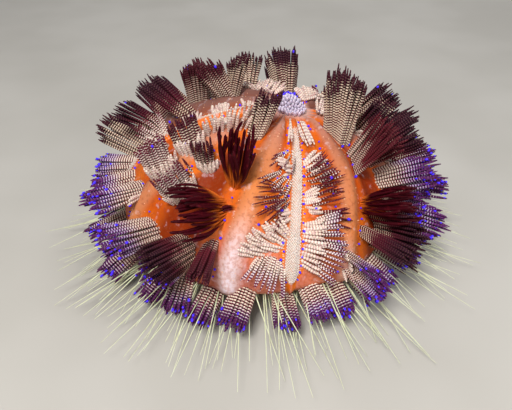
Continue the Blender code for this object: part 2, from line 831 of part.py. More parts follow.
def centre_on_origin(nodes):
    """Moves the whole model level, so that the middle of its box stands over the origin."""
    points = np.array([tuple(v.co) for node in nodes for v in node.data.vertices])
    low = points.min(axis=0)
    high = points.max(axis=0)
    shift = Vector((-(low[0] + high[0]) / 2, -(low[1] + high[1]) / 2, 0))
    for node in nodes:
        for vert in node.data.vertices:
            vert.co += shift
        node.data.update()


def main():
    clear_scene()
    parts = make_collection("fire_urchin")
    thicket = Thicket(make_collection("spines"))
    zone_skin = make_material("zone skin", SKIN)
    strip_skin = make_material("ambulacrum skin", STRIP_SKIN)
    band_skin = make_material("band skin", BAND_SKIN, BAND_ROUGHNESS)
    oral_skin = make_material("oral skin", ORAL_SKIN)
    disc_skin = make_material("disc skin", DISC_SKIN)
    mouth_skin = make_material("mouth skin", MOUTH_SKIN)
    make_disc(parts, thicket, disc_skin)
    make_mouth(parts, thicket, mouth_skin)
    count = len(BAND_LINES)
    for band in range(count):
        aboral_zone(f"bare_band_{band + 1}", band_walls(band), BAND_COLUMNS, parts, band_skin)
    for sector in range(count):
        kind = "interambulacrum" if sector % 2 else "ambulacrum"
        name = f"{kind}_{sector // 2 + 1}"
        skin = zone_skin if sector % 2 else strip_skin
        node = aboral_zone(name, sector_walls(sector), ZONE_COLUMNS, parts, skin)
        grow_tufts(sector, thicket, skin)
        join_spines(node, thicket.waiting)
        oral = oral_zone(f"oral_{name}", sector, parts, oral_skin)
        owner = count + sector
        grow_hoofs(sector, owner, thicket, oral_skin)
        grow_edge_tufts(sector, owner, thicket, oral_skin)
        grow_fringe(sector, owner, thicket, oral_skin)
        join_spines(oral, thicket.waiting)
    centre_on_origin(list(parts.objects))


main()
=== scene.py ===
"""The looks of the fire urchin: its skin, its tufts of spines, its venom sacs and its underside.

Metres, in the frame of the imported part: +Z up, floor at zero, +Y towards the back. The dome's
shape and the places of its tufts are worked out here from the same sizes as the part's solids.
A place on the dome is a fraction, 0 at the apical disc and 1 at the edge, and an azimuth in
degrees about the apex, counter-clockwise from the right.
"""

import math
from itertools import product

import bpy
import numpy as np
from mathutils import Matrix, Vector, noise


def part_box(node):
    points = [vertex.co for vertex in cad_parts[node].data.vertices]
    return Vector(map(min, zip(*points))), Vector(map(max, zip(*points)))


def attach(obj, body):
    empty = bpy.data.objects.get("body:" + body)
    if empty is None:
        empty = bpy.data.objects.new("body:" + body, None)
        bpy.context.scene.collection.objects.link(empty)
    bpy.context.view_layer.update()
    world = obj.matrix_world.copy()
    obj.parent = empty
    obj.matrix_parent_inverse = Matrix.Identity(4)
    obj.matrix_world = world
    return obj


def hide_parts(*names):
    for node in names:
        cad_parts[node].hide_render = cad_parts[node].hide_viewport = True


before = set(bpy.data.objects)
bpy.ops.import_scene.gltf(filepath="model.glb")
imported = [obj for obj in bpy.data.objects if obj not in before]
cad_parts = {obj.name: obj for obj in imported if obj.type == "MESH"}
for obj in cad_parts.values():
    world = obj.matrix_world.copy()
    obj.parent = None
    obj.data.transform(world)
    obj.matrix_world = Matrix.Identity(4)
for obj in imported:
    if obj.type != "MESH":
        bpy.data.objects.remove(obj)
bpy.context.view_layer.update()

rng = np.random.default_rng(7)

# Body, as in the part
BODY_RADIUS = 0.075
DOME_RISE = 0.054
WIDEST_LEVEL = 0.028
BELLY_DEPTH = 0.016
APEX = np.array([0.015, 0.004])
DISC_RADIUS = 0.009
CONE_RISE = 0.0045
MOUTH_RADIUS = 0.014
MOUTH_HOLLOW = 0.0015
BAND_LINES = (
    (-105, -111), (-52, -70), (-24, -24), (10, 10), (42, 42),
    (74, 74), (105, 105), (136, 136), (166, 164), (217, 208),
)
SECTORS = len(BAND_LINES)
STRIPS = range(0, SECTORS, 2)
FRONT_STRIP_LINE = (-87, -91)
BAND_HALF = 0.0065
BAND_HALF_AT_DISC = 0.0015
BAND_FULL_AT = 0.045
BAND_HUMP = 0.0030
HUMP_REACH = 1.3
HOLLOW_DEPTH = 0.0022
STRIP_HALF = 0.0034
STRIP_HUMP = 0.0020
STRIP_INSET = 0.0052

# Finer relief of the skin
WHITE_HALF_AT_DISC = 0.0013
WHITE_HALF_AT_EDGE = 0.0034
WHITE_AT_SIDES = 0.45
WHITE_FROM = 0.10
WHITE_TO = 0.965
WHITE_END = 0.06
GROOVE_WIDTH = 0.0030
GROOVE_DEPTH = 0.0007
WRINKLE = 0.00022
WRINKLE_PITCH = 0.0045
LUMP = 0.0006
LUMP_PITCH = 0.012
DISC_FOLD = 0.00035
MOUTH_FOLD = 0.0005

# Skin mesh
SKIN_COLUMNS = 640
DISC_ROWS = 9
DOME_ROWS = 98
ORAL_ROWS = 32
MOUTH_ROWS = 8
ALL_ROWS = DISC_ROWS + DOME_ROWS + ORAL_ROWS + MOUTH_ROWS - 1
LAST_TURN = math.degrees(math.acos((MOUTH_RADIUS / BODY_RADIUS) ** 2))

# The model's own middle, which the part moved over the origin
mouth_low, mouth_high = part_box("mouth")
SHIFT = np.array([(mouth_low.x + mouth_high.x) / 2, (mouth_low.y + mouth_high.y) / 2, 0.0])


def mix(low, high, share):
    return low + (high - low) * share


def smooth(share):
    share = np.clip(share, 0.0, 1.0)
    return share * share * (3 - 2 * share)


def unit(vectors):
    return vectors / np.linalg.norm(vectors, axis=-1, keepdims=True)


def stacked(*values):
    """Rows that hold one number of each of the values."""
    return np.stack(np.broadcast_arrays(*values), axis=-1)


def heading(azimuth):
    """Level unit vectors, in two coordinates, at azimuths in degrees."""
    turn = np.radians(azimuth)
    return stacked(np.cos(turn), np.sin(turn))


def turned_left(ways):
    """Level vectors square to ways, to their left."""
    return stacked(-ways[..., 1], ways[..., 0], 0)


def reach(azimuth):
    """Distance from the apex to the body's outline, seen from above."""
    along = heading(azimuth) @ APEX
    return -along + np.sqrt(along * along - APEX @ APEX + BODY_RADIUS ** 2)


def radius_at(fraction, azimuth):
    first = np.arcsin(DISC_RADIUS / reach(azimuth))
    return reach(azimuth) * np.sin(mix(first, math.pi / 2, fraction))


def dome_over(level):
    """Points of the plain dome over level places."""
    inside = 1 - (level ** 2).sum(axis=-1) / BODY_RADIUS ** 2
    rise = DOME_RISE * np.sqrt(np.maximum(inside, 0.0))
    return np.concatenate([level, (WIDEST_LEVEL + rise)[..., None]], axis=-1)


def cone(share):
    """Rise of the apical cone over the dome, at a share of the disc's radius."""
    return CONE_RISE * smooth((0.8 - share) / 0.6)


def plain_surface(fraction, azimuth):
    return dome_over(APEX + heading(azimuth) * radius_at(fraction, azimuth)[..., None])


def dome_normal(points):
    centred = points - [0, 0, WIDEST_LEVEL]
    return unit(centred / [BODY_RADIUS ** 2, BODY_RADIUS ** 2, DOME_RISE ** 2])


def bow(fraction):
    return np.sin(fraction * math.pi / 2) ** 2


def band_azimuth(number, fraction):
    turns, index = divmod(number, SECTORS)
    return mix(*BAND_LINES[index], bow(fraction)) + 360 * turns


def strip_azimuth(sector, fraction):
    if sector == 0:
        return mix(*FRONT_STRIP_LINE, bow(fraction))
    return (band_azimuth(sector, fraction) + band_azimuth(sector + 1, fraction)) / 2


def band_half(radius):
    share = (radius - DISC_RADIUS) / (BAND_FULL_AT - DISC_RADIUS)
    return mix(BAND_HALF_AT_DISC, BAND_HALF, smooth(share))


def white_half(sector, fraction):
    """Half the width of a sector's white strip, broadest in front and rounded at its end."""
    end = np.sqrt(np.clip((WHITE_TO - fraction) / WHITE_END, 0.0, 1.0))
    half = mix(WHITE_HALF_AT_DISC, WHITE_HALF_AT_EDGE, fraction)
    return half * (WHITE_AT_SIDES if sector else 1.0) * end


def across(fraction, azimuth, middle):
    """Sideways distance of azimuths from a middle line."""
    turn = (azimuth - middle + 180) % 360 - 180
    return np.radians(turn) * radius_at(fraction, azimuth)


def hump(distance, half):
    """A rounded ridge, 1 at its middle line and 0 from half its width on."""
    return np.cos(np.pi * np.minimum(distance / half, 1) / 2) ** 2


def zones(fraction, azimuth):
    """How far places are into bands, bare middles, strip humps, white strips and grooves, 0 to 1."""
    fraction, azimuth = np.broadcast_arrays(fraction, azimuth)
    band, middle, strip, white, groove = np.zeros((5, *fraction.shape))
    half = HUMP_REACH * band_half(radius_at(fraction, azimuth))
    for sector in range(SECTORS):
        low = band_azimuth(sector, fraction)
        width = band_azimuth(sector + 1, fraction) - low
        inside = (azimuth - low) % 360 < width
        left = np.abs(across(fraction, azimuth, low))
        right = np.abs(across(fraction, azimuth, low + width))
        near = np.minimum(left, right)
        band = np.where(inside, hump(near, half), band)
        if sector % 2:
            room = np.maximum(left + right - 2 * half, 1e-6)
            hollow = smooth(1 - np.abs(left - right) / room) * (near >= half)
            middle = np.where(inside, hollow, middle)
            continue
        off = np.abs(across(fraction, azimuth, strip_azimuth(sector, fraction)))
        strip = np.where(inside, hump(off, STRIP_HALF), strip)
        patch = smooth((white_half(sector, fraction) - off) / 0.0008 + 0.5)
        patch = patch * smooth((fraction - WHITE_FROM) * 9) * (fraction < WHITE_TO)
        white = np.where(inside, patch, white)
        away = np.abs(off - white_half(sector, fraction) - GROOVE_WIDTH / 2) / (GROOVE_WIDTH / 2)
        groove = np.where(inside, smooth((1 - away) * 1.6), groove)
    return band, middle, strip, white, groove


def relief(fraction, azimuth):
    """Height of the surface over the plain dome, as in the part, with the grooves beside the strips."""
    band, middle, strip, _, groove = zones(fraction, azimuth)
    grown = smooth((radius_at(fraction, azimuth) - DISC_RADIUS) / DISC_RADIUS)
    height = BAND_HUMP * band - HOLLOW_DEPTH * middle + STRIP_HUMP * strip - GROOVE_DEPTH * groove
    return height * grown


def surface(fraction, azimuth):
    points = plain_surface(fraction, azimuth)
    return points + dome_normal(points) * relief(fraction, azimuth)[..., None]


def oral_surface(turn, azimuth):
    """The underside: turn 0 is the edge and 90 degrees the flat middle."""
    edge = surface(1.0, azimuth)
    inward = np.sqrt(np.cos(np.radians(turn)))
    level = WIDEST_LEVEL - BELLY_DEPTH * np.sin(np.radians(turn))
    return stacked(edge[..., 0] * inward, edge[..., 1] * inward, level)


def locate(points):
    """Fraction and azimuth of the dome's places nearest points."""
    local = points - [0, 0, WIDEST_LEVEL]
    scaled = np.linalg.norm(local / [BODY_RADIUS, BODY_RADIUS, DOME_RISE], axis=-1)
    flat = (local / scaled[..., None])[..., :2] - APEX
    azimuth = np.degrees(np.arctan2(flat[..., 1], flat[..., 0]))
    first = np.arcsin(DISC_RADIUS / reach(azimuth))
    share = np.minimum(np.linalg.norm(flat, axis=-1) / reach(azimuth), 1.0)
    return np.clip((np.arcsin(share) - first) / (math.pi / 2 - first), 0.0, 1.0), azimuth


def beside(middle, fraction, off):
    """Azimuth at a distance to the left of a middle line."""
    return middle + np.degrees(off / radius_at(fraction, middle))


def wall_azimuth(band, fraction, side, inset):
    """Azimuth at an inset beyond a band's margin."""
    middle = band_azimuth(band, fraction)
    return beside(middle, fraction, side * (band_half(radius_at(fraction, middle)) + inset))


def surface_axes(fraction, azimuth):
    """Normal, downhill and sideways unit vectors of the dome at a place."""
    normal = dome_normal(plain_surface(fraction, azimuth))
    down = np.append(heading(azimuth), 0.0)
    down = unit(down - normal * (normal @ down))
    return normal, down, np.cross(normal, down)


def map_place(points):
    """Places of points on the skin's own map."""
    fraction, azimuth = locate(points)
    row = DISC_ROWS + fraction * DOME_ROWS
    away = np.linalg.norm(points[:, :2], axis=1) / BODY_RADIUS
    turn = np.degrees(np.arccos(np.minimum(away, 1.0) ** 2))
    edge = unit(points[:, :2]) * BODY_RADIUS - APEX
    under = points[:, 2] < WIDEST_LEVEL
    azimuth = np.where(under, np.degrees(np.arctan2(edge[:, 1], edge[:, 0])), azimuth)
    low_row = DISC_ROWS + DOME_ROWS + ORAL_ROWS * np.minimum(turn / LAST_TURN, 1) ** 1.25
    row = np.where(under, low_row, row)
    return stacked((azimuth % 360) / 360, 1 - row / (ALL_ROWS + 1))


# Meshes

# Side of the patch that a small thing has on the bake map
PATCH = 0.003


def add_object(name, data):
    obj = bpy.data.objects.new(name, data)
    bpy.context.scene.collection.objects.link(obj)
    return obj


def new_piece(name, points, faces, places, material):
    """A piece from points, corner indices, one array a face size, and each corner's bake place."""
    mesh = bpy.data.meshes.new(name)
    mesh.vertices.add(len(points))
    mesh.vertices.foreach_set("co", (points + SHIFT).astype(np.float32).ravel())
    counts = np.concatenate([np.full(len(f), f.shape[1]) for f in faces])
    corners = np.concatenate([f.ravel() for f in faces])
    mesh.loops.add(len(corners))
    mesh.loops.foreach_set("vertex_index", corners.astype(np.int32))
    mesh.polygons.add(len(counts))
    starts = np.concatenate([[0], np.cumsum(counts)[:-1]])
    mesh.polygons.foreach_set("loop_start", starts.astype(np.int32))
    mesh.update(calc_edges=True)
    mesh.polygons.foreach_set("use_smooth", np.full(len(counts), True))
    mesh.materials.append(material)
    bake_map = mesh.uv_layers.new(name="OFBake")
    bake_map.data.foreach_set("uv", places.astype(np.float32).ravel())
    obj = add_object(name, mesh)
    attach(obj, "root")
    return obj


def set_marks(obj, name, values):
    """Stores three numbers for each vertex, which the materials read."""
    layer = obj.data.attributes.new(name, "FLOAT_VECTOR", "POINT")
    layer.data.foreach_set("vector", values.astype(np.float32).ravel())


def bumpy(points, pitch, seed):
    """Smooth noise from -1 to 1 at points."""
    offset = Vector((seed * 7.3, seed * 3.1, seed * 5.7))
    return np.array([noise.noise(Vector(p) / pitch + offset) for p in points])


def ring_points(paths, ways, refs, radii, sides):
    """Rings of points round paths that run along ways."""
    side = unit(np.cross(ways, refs))[:, :, None]
    other = np.cross(ways[:, :, None], side)
    turns = 2 * np.pi * np.arange(sides)[:, None] / sides
    ring = side * np.cos(turns) + other * np.sin(turns)
    return paths[:, :, None] + ring * radii[:, :, None, None]


def ringed_piece(name, body, ends, heights, cells, material):
    """Joined like bodies, each of rings of points from its root to its tip.

    Ends are the point of the tip and, where the root isn't a flat, of the root. Heights are the
    rings' own in a cell of the bake map, and cells are the cells' corners and size.
    """
    count, rings, sides = body.shape[:3]
    points = np.concatenate([body.reshape(count, -1, 3), ends], axis=1)
    tip = rings * sides
    grid = np.arange(tip).reshape(rings, sides)
    after = np.roll(grid, -1, axis=1)
    left = np.arange(sides) / sides
    right, middle = left + 1 / sides, left + 0.5 / sides
    low, high, first, last = heights[:-1, None], heights[1:, None], heights[0], heights[-1]
    shapes = [stacked(grid[:-1], after[:-1], after[1:], grid[1:]).reshape(-1, 4)]
    maps = [stacked(left, low, right, low, right, high, left, high)]
    shapes.append(stacked(grid[-1], after[-1], tip))
    maps.append(stacked(left, last, right, last, middle, 1))
    if ends.shape[1] == 2:
        shapes.append(stacked(after[0], grid[0], tip + 1))
        maps.append(stacked(right, first, left, first, middle, 0))
    else:
        turns = 2 * np.pi * left
        shapes.append(grid[:1, ::-1])
        maps.append(stacked(0.5 + 0.4 * np.cos(turns), 0.025 - 0.02 * np.sin(turns)))
    start = (np.arange(count) * points.shape[1])[:, None, None]
    faces = [(start + shape).reshape(-1, shape.shape[1]) for shape in shapes]
    corners, size = cells
    places = [(corners[:, None] + part.reshape(-1, 2) * size).reshape(-1, 2) for part in maps]
    return new_piece(name, points.reshape(-1, 3), faces, np.concatenate(places), material)


# Skin


def skin_rows(azimuth):
    """Rows of points from the apex to the mouth, each with its kind and its share of that kind."""
    rows = []
    for step in range(1, DISC_ROWS):
        share = step / DISC_ROWS
        points = dome_over(APEX + heading(azimuth) * (DISC_RADIUS * share))
        points[:, 2] += cone(share) + DISC_FOLD * math.sin(share * 9) * np.sin(np.radians(azimuth) * 10)
        rows.append((points, "disc", share))
    for step in range(DOME_ROWS + 1):
        fraction = step / DOME_ROWS
        rows.append((surface(fraction, azimuth), "dome", fraction))
    for step in range(1, ORAL_ROWS + 1):
        turn = LAST_TURN * (step / ORAL_ROWS) ** 0.8
        rows.append((oral_surface(turn, azimuth), "oral", step / ORAL_ROWS))
    rim = rows[-1][0]
    middle = np.array([0, 0, WIDEST_LEVEL - BELLY_DEPTH])
    for step in range(1, MOUTH_ROWS):
        share = step / MOUTH_ROWS
        points = mix(rim, middle, share)
        fold = MOUTH_FOLD * np.sin(np.radians(azimuth) * 20) * math.sin(share * math.pi)
        points[:, 2] += MOUTH_HOLLOW * smooth(share * 1.5) + fold
        rows.append((points, "mouth", share))
    return rows


def skin_marks(kind, share, azimuth):
    """Zone and place marks of one row of the skin."""
    fraction = {"disc": 0.0, "dome": share}.get(kind, 1.0)
    band, middle, _, white, groove = zones(fraction, azimuth)
    fade = {"dome": 1.0, "oral": max(0.0, 1 - 4 * share)}.get(kind, 0.0)
    under = {"oral": min(1.0, 3 * share), "mouth": 1.0}.get(kind, 0.0)
    disc = {"disc": 1.0, "dome": max(0.0, 1 - share / 0.05)}.get(kind, 0.0)
    return stacked(band * fade, white * fade, groove * fade, middle * fade, under, disc)


def make_skin(material):
    azimuth = np.arange(SKIN_COLUMNS) * 360 / SKIN_COLUMNS
    rows = skin_rows(azimuth)[::-1]
    top = dome_over(APEX) + [0, 0, CONE_RISE]
    bottom = [0, 0, WIDEST_LEVEL - BELLY_DEPTH + MOUTH_HOLLOW]
    points = np.concatenate([row[0] for row in rows] + [[top, bottom]])
    marks = [skin_marks(kind, share, azimuth) for _, kind, share in rows]
    marks = np.concatenate(marks + [[[0, 0, 0, 0, 0, 1], [0, 0, 0, 0, 1, 0]]])
    lumps = LUMP * bumpy(points, LUMP_PITCH, 1) + WRINKLE * bumpy(points, WRINKLE_PITCH, 2)
    lumps = lumps * (1 - 0.6 * marks[:, 1]) * (1 - marks[:, 5])
    points = points + dome_normal(points) * lumps[:, None]
    body = points[:-2].reshape(1, ALL_ROWS, SKIN_COLUMNS, 3)
    heights = np.arange(1, ALL_ROWS + 1) / (ALL_ROWS + 1)
    whole = (np.zeros((1, 2)), 1)
    skin = ringed_piece("skin", body, points[None, -2:], heights, whole, material)
    set_marks(skin, "zone", marks[:, :3])
    set_marks(skin, "place", marks[:, 3:])
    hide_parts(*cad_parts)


# Spines


class Bundle:
    """Spines of one shape, gathered and then made into a few joined meshes."""

    def __init__(self, name, slot, rings, sides, profile, sink, swell=0.0, patch=False):
        self.name = name
        self.slot = slot
        self.sides = sides
        self.steps = np.linspace(0, 1, rings)
        beads = 1 + swell * np.cos(2 * np.pi * self.steps * STUB_BEADS)
        self.profile = beads * np.interp(self.steps, *profile)
        self.sink = sink
        self.patch = patch
        self.parts = []

    def add(self, feet, ways, lengths, radii, bends, refs, marks):
        """Adds spines, which start a little under the surface and bend along their length."""
        lengths = lengths[:, None]
        run = mix(-self.sink, lengths, self.steps)
        share = np.maximum(run / lengths, 0)
        paths = feet[:, None] + ways[:, None] * run[:, :, None]
        paths = paths + bends[:, None] * (lengths * share ** 2)[:, :, None]
        radii = radii[:, None] * self.profile
        paths[:, :, 2] = np.maximum(paths[:, :, 2], radii)
        self.parts.append((paths, radii, refs, marks, feet))
        return paths[:, -1], unit(paths[:, -1] - paths[:, -2])

    def build(self, material, most=190_000):
        """Makes the pieces, each under a count of triangles and each spread over the whole animal."""
        whole = [np.concatenate(column) for column in zip(*self.parts)]
        share = math.ceil(len(whole[0]) * 2 * self.sides * len(self.steps) / most)
        for n in range(share):
            name = self.name if share == 1 else f"{self.name}_{n + 1}"
            self.piece(name, material, *[column[n::share] for column in whole])

    def piece(self, name, material, paths, radii, refs, marks, feet):
        ways = unit(np.gradient(paths, axis=1))
        body = ring_points(paths, ways, refs[:, None], radii, self.sides)
        tip = paths[:, -1:] + ways[:, -1:] * radii[:, -1:, None]
        heights = mix(0.06, 0.95, self.steps)
        obj = ringed_piece(name, body, tip, heights, self.cells(feet), material)

        steps = np.linalg.norm(np.diff(paths, axis=1, prepend=paths[:, :1]), axis=-1)
        along = np.repeat(np.cumsum(steps, axis=1) * 1000, self.sides, axis=1)
        along = np.concatenate([along, along[:, -1:]], axis=1)
        set_marks(obj, "spine", stacked(along, along / along[:, -1:], marks[:, :1]))
        set_marks(obj, "tuft", np.repeat(marks[:, 1:], along.shape[1], axis=0))

    def cells(self, feet):
        """One tall cell of the map for each spine, or a small patch at its root's place on the skin."""
        if self.patch:
            return map_place(feet) * (1 - PATCH), PATCH
        columns = max(1, math.ceil(math.sqrt(len(feet) * 5)))
        rows = math.ceil(len(feet) / columns)
        index = np.arange(len(feet))
        corners = stacked((index % columns) / columns, (index // columns) / rows)
        return corners, np.array([0.88 / columns, 0.95 / rows])


STUB_BEADS = 7
BEAD_SWELL = 0.17
BAND_PERIOD_MM = 1.35

# Radii along spines: shares of the length, and the shares of the full radius there
BANDED_PROFILE = ([0, 0.1, 0.75, 0.90, 1], [0.95, 1.0, 0.96, 0.84, 0.38])
STUB_PROFILE = ([0, 0.2, 0.7, 0.93, 1], [0.85, 0.95, 1.0, 0.8, 0.42])
CRIMSON_PROFILE = ([0, 0.3, 0.5, 0.72, 0.96, 1], [0.42, 0.50, 0.82, 1.0, 0.94, 0.50])
NEEDLE_PROFILE = ([0, 1], [1.0, 0.25])
HOOF_PROFILE = ([0, 0.6, 0.85, 0.95, 1.0], [1.1, 0.9, 1.1, 1.9, 2.0])

# Spines of a tuft: pitch across it and through it, rows, radius, half angles of its fan, and stray
SPINE_KINDS = {
    "banded": (0.00152, 3, 0.00072, 5, 3, 0.5),
    "thin": (0.00140, 2, 0.00048, 17, 7, 2.5),
    "sparse": (0.00225, 2, 0.00040, 17, 9, 4.5),
    "stub": (0.00180, 2, 0.00078, 15, 9, 4),
    "finger": (0.00250, 2, 0.00074, 12, 10, 4),
    "plate": (0.00120, 1, 0.00062, 2, 2, 1),
    "crimson": (0.00122, 3, 0.00072, 28, 7, 5),
}

# Darkness, violet and whiteness of each look, and the share of its spines with a venom sac
LOOKS = {
    "woven": (0.52, 0, 0.1, 0.01),
    "maroon": (0.85, 0, 0.25, 0.03),
    "dark": (1.55, 0, 0, 0.02),
    "streaked": (1.25, 0, 0.5, 0),
    "plume": (0.68, 0.88, 0.64, 0.5),
    "violet": (0.85, 0.55, 0.4, 0.6),
    "tipped": (0.7, 0.1, 0.9, 0.02),
    "white": (0.05, 0.1, 1, 0.03),
    "cream": (0.25, 0.35, 0.85, 0.06),
    "lattice": (0.42, 0.08, 0.72, 0.02),
    "wine": (2.3, 0, 0.25, 0),
    "red": (1.45, 0, 0.6, 0.02),
    "dusk": (1.05, 0, 0, 0.02),
    "crimson": (1, 0, 0, 0),
    "deep": (1.8, 0, 0, 0),
}

# Tufts, in millimetres and degrees: the fraction down the zone, the inset from the column's line,
# the lean off the surface's normal, the swing of that lean (0 down the slope, 90 away from the
# line), the length, the width, the kind and look, and the length of the white stubs at the root
FRONT_LEFT_COLUMN = (
    (0.06, -1, 84, -10, 22, 4, "plate white"),
    (0.26, -1, 76, 24, 13, 8, "sparse tipped"),
    (0.33, -2, 62, 60, 6, 6, "stub white"),
    (0.38, 0, 74, 32, 14, 8, "sparse tipped"),
    (0.47, -1, 62, 58, 15, 8, "sparse red"),
    (0.52, 0, 68, 45, 15, 8, "sparse red"),
    (0.57, -2, 62, 60, 6, 5, "stub white"),
    (0.71, -1, 66, 105, 10, 10, "stub white"),
    (0.73, 5, 66, 103, 9, 11, "stub white"),
    (0.75, 10.5, 64, 100, 8, 9, "stub white"),
    (0.81, 3, 46, 0, 15, 13, "thin cream", 6),
)
FRONT_RIGHT_COLUMN = (
    (0.06, -1, 84, -10, 22, 5, "plate white"),
    (0.34, 0, 62, 120, 9, 6, "stub white"),
    (0.39, 3, 56, 122, 12, 8, "sparse tipped"),
    (0.45, 8, 62, 108, 9, 6, "sparse red"),
    (0.52, 0, 64, 100, 5.5, 9, "stub white"),
    (0.54, 3, 62, 112, 14, 12, "sparse red"),
    (0.62, 11, 66, 92, 12, 4, "sparse red"),
    (0.68, 0, 60, 102, 9, 10, "stub white"),
    (0.68, 4.5, 56, 104, 13, 12, "thin cream"),
    (0.79, 0, 60, 98, 9, 11, "stub white"),
    (0.79, 3, 62, 92, 16, 13, "thin cream"),
)
STRIP_COLUMN = (
    (0.09, 0, 50, 70, 8, 5, "stub white"),
    (0.21, 0, 46, 70, 9, 8, "stub white", 6),
    (0.34, 0, 46, 70, 9, 9, "stub white", 6),
    (0.5, 0, 45, 60, 14, 10, "thin tipped", 8),
    (0.74, 0, 40, 20, 22, 12, "banded plume", 10),
)
AMBULACRUM_COLUMN = (
    (0.36, 3, 12, 60, 22, 10, "banded woven"),
    (0.54, 3, 14, 50, 25, 10, "banded dark"),
    (0.74, 3, 22, 40, 29, 11, "banded violet"),
)
INTERAMBULACRUM_COLUMN = (
    (0.22, 3, 12, 60, 26, 11, "banded woven"),
    (0.41, 3, 12, 60, 27, 11, "banded maroon"),
    (0.59, 3, 16, 20, 30, 11, "banded dark"),
    (0.79, 3, 24, 10, 30, 12, "banded dark"),
)
LEFT_OF_SECOND_BAND = (
    (0.2, 1.8, 15, 112, 30, 13, "banded woven"),
    (0.47, 3, 26, 173, 31, 11, "crimson crimson"),
    (0.56, 4, 38, -45, 28, 13, "crimson crimson"),
    (0.76, 3, 34, 30, 22, 12, "banded wine"),
)
RIGHT_OF_THIRD_BAND = (
    (0.25, 1, 17, 118, 37, 18, "banded woven"),
    (0.44, 3, 8, 130, 33, 14, "banded streaked"),
    (0.62, 3, 16, -48, 28, 9, "crimson deep"),
    (0.77, 3, 18, 0, 32, 12, "banded dark"),
)
UPPER_LEFT_COLUMN = (
    (0.5, 5, 40, 85, 9, 6, "sparse red"),
    (0.8, 7, 14, 0, 28, 14, "banded plume", 9),
)

# Columns of their own, by sector counter-clockwise from the front and by side, and the side of a
# sector that has no tufts at its band
OWN_COLUMNS = {
    (0, -1): FRONT_LEFT_COLUMN, (0, 1): FRONT_RIGHT_COLUMN, (1, -1): RIGHT_OF_THIRD_BAND,
    (9, -1): UPPER_LEFT_COLUMN, (9, 1): LEFT_OF_SECOND_BAND,
}
BARE_SIDE = (8, 1)

# Further tufts at their own fraction and azimuth, with the swing counter-clockwise from downhill
EXTRA_TUFTS = (
    (0.79, -126, 14, -10, 29, 14, "banded dark"),
    (0.95, -131, 18, -170, 27, 13, "banded violet"),
    (0.4, -82, 50, 100, 12, 8, "sparse red"),
    (0.7, -158, 32, 25, 29, 15, "banded plume", 8),
    (0.79, -36, 24, -90, 24, 12, "banded plume", 6),
    (0.83, -49, 12, -75, 30, 15, "banded dark"),
    (0.92, -68, 8, -35, 27, 13, "banded plume", 8),
    (0.57, -113, 74, -40, 9, 0, "crimson crimson"),
)

# Tufts of the left at their own places too, with their broad sides towards the front
FACING_TUFTS = (
    (0.14, -140, 26, 130, 10, 8, "finger white"),
    (0.21, -140, 20, 140, 10, 9, "finger white"),
    (0.26, -143, 10, 160, 10, 10, "finger white"),
    (0.31, -147, 12, 120, 9, 10, "finger white"),
    (0.41, -146, 26, -130, 16, 13, "banded maroon", 7),
    (0.58, -147, 30, -160, 19, 16, "banded lattice", 9),
    (0.42, -135, 20, -170, 13, 8, "banded maroon", 4),
    (0.59, -135, 22, -140, 16, 14, "banded lattice", 9),
)

# Tufts turned as the photo shows them, broad side to the front, by sector, side and row of their
# column: lean, swing, length, width and look. Rows beside a strip count from STRIP_ROWS.
TURNED_TUFTS = {
    (1, -1, 0): (24, -178, 35.5, 17, "woven"),
    (1, 1, 0): (26, -170, 28, 10, "woven"),
    (1, 1, 1): (10, -50, 26, 12, "streaked"),
    (1, 1, 2): (12, 30, 28, 13, "plume"),
    (1, 1, 3): (24, 10, 29, 13, "plume"),
    (2, 1, 0): (8, 30, 23, 12, "woven"),
    (2, -1, 0): (12, 90, 22, 10, "dark"),
    (3, -1, 0): (16, 120, 24, 9, "woven"),
    (3, 1, 0): (18, -150, 24, 9, "woven"),
    (3, -1, 1): (16, 60, 28, 12, "dusk"),
    (3, 1, 1): (17, -30, 28, 11, "woven"),
    (4, -1, 0): (28, 20, 22, 10, "woven"),
    (4, -1, 1): (22, -20, 25, 10, "dark"),
    (4, 1, 0): (36, -20, 22, 10, "woven"),
    (4, 1, 1): (24, -10, 25, 10, "dark"),
    (4, 1, 2): (16, 20, 29, 11, "violet"),
    (5, -1, 0): (8, -90, 26, 12, "dusk"),
    (5, -1, 1): (16, -40, 27, 11, "maroon"),
    (5, -1, 2): (26, -50, 30, 11, "dark"),
    (5, 1, 0): (20, 80, 26, 11, "dusk"),
    (5, 1, 1): (22, 50, 27, 11, "woven"),
    (6, -1, 0): (20, 70, 23, 12, "woven"),
    (6, 1, 0): (18, -50, 23, 12, "woven"),
    (6, 1, 1): (12, 40, 25, 12, "woven"),
    (6, 1, 2): (24, -30, 29, 11, "violet"),
    (7, -1, 0): (28, -170, 25, 10, "woven"),
    (7, 1, 0): (28, 70, 26, 10, "maroon"),
    (7, -1, 1): (22, 50, 27, 13, "maroon"),
    (7, 1, 1): (32, 150, 27, 10, "maroon"),
    (7, -1, 2): (26, -10, 32, 9, "dark"),
    (7, 1, 2): (16, -40, 30, 10, "dark"),
    (8, -1, 0): (24, 0, 28, 9, "dark"),
    (8, -1, 1): (24, -50, 27, 10, "dark"),
    (8, -1, 2): (8, 30, 29, 15, "woven"),
    (9, 1, 0): (30, 165, 24, 13, "woven"),
}
STRIP_ROWS = 10
TURNED_TUFTS |= {
    (8, side, row): (78, swing, length, 6, "white")
    for side, swing, length in ((-1, 90, 6), (1, 60, 5)) for row in (10, 11, 12)
}
FACING = np.array([0.0, -0.82, 0.57])
ROOT_KEEP = 0.0016
FIRST_ROOT = 0.03
LAST_ROOT = 0.95

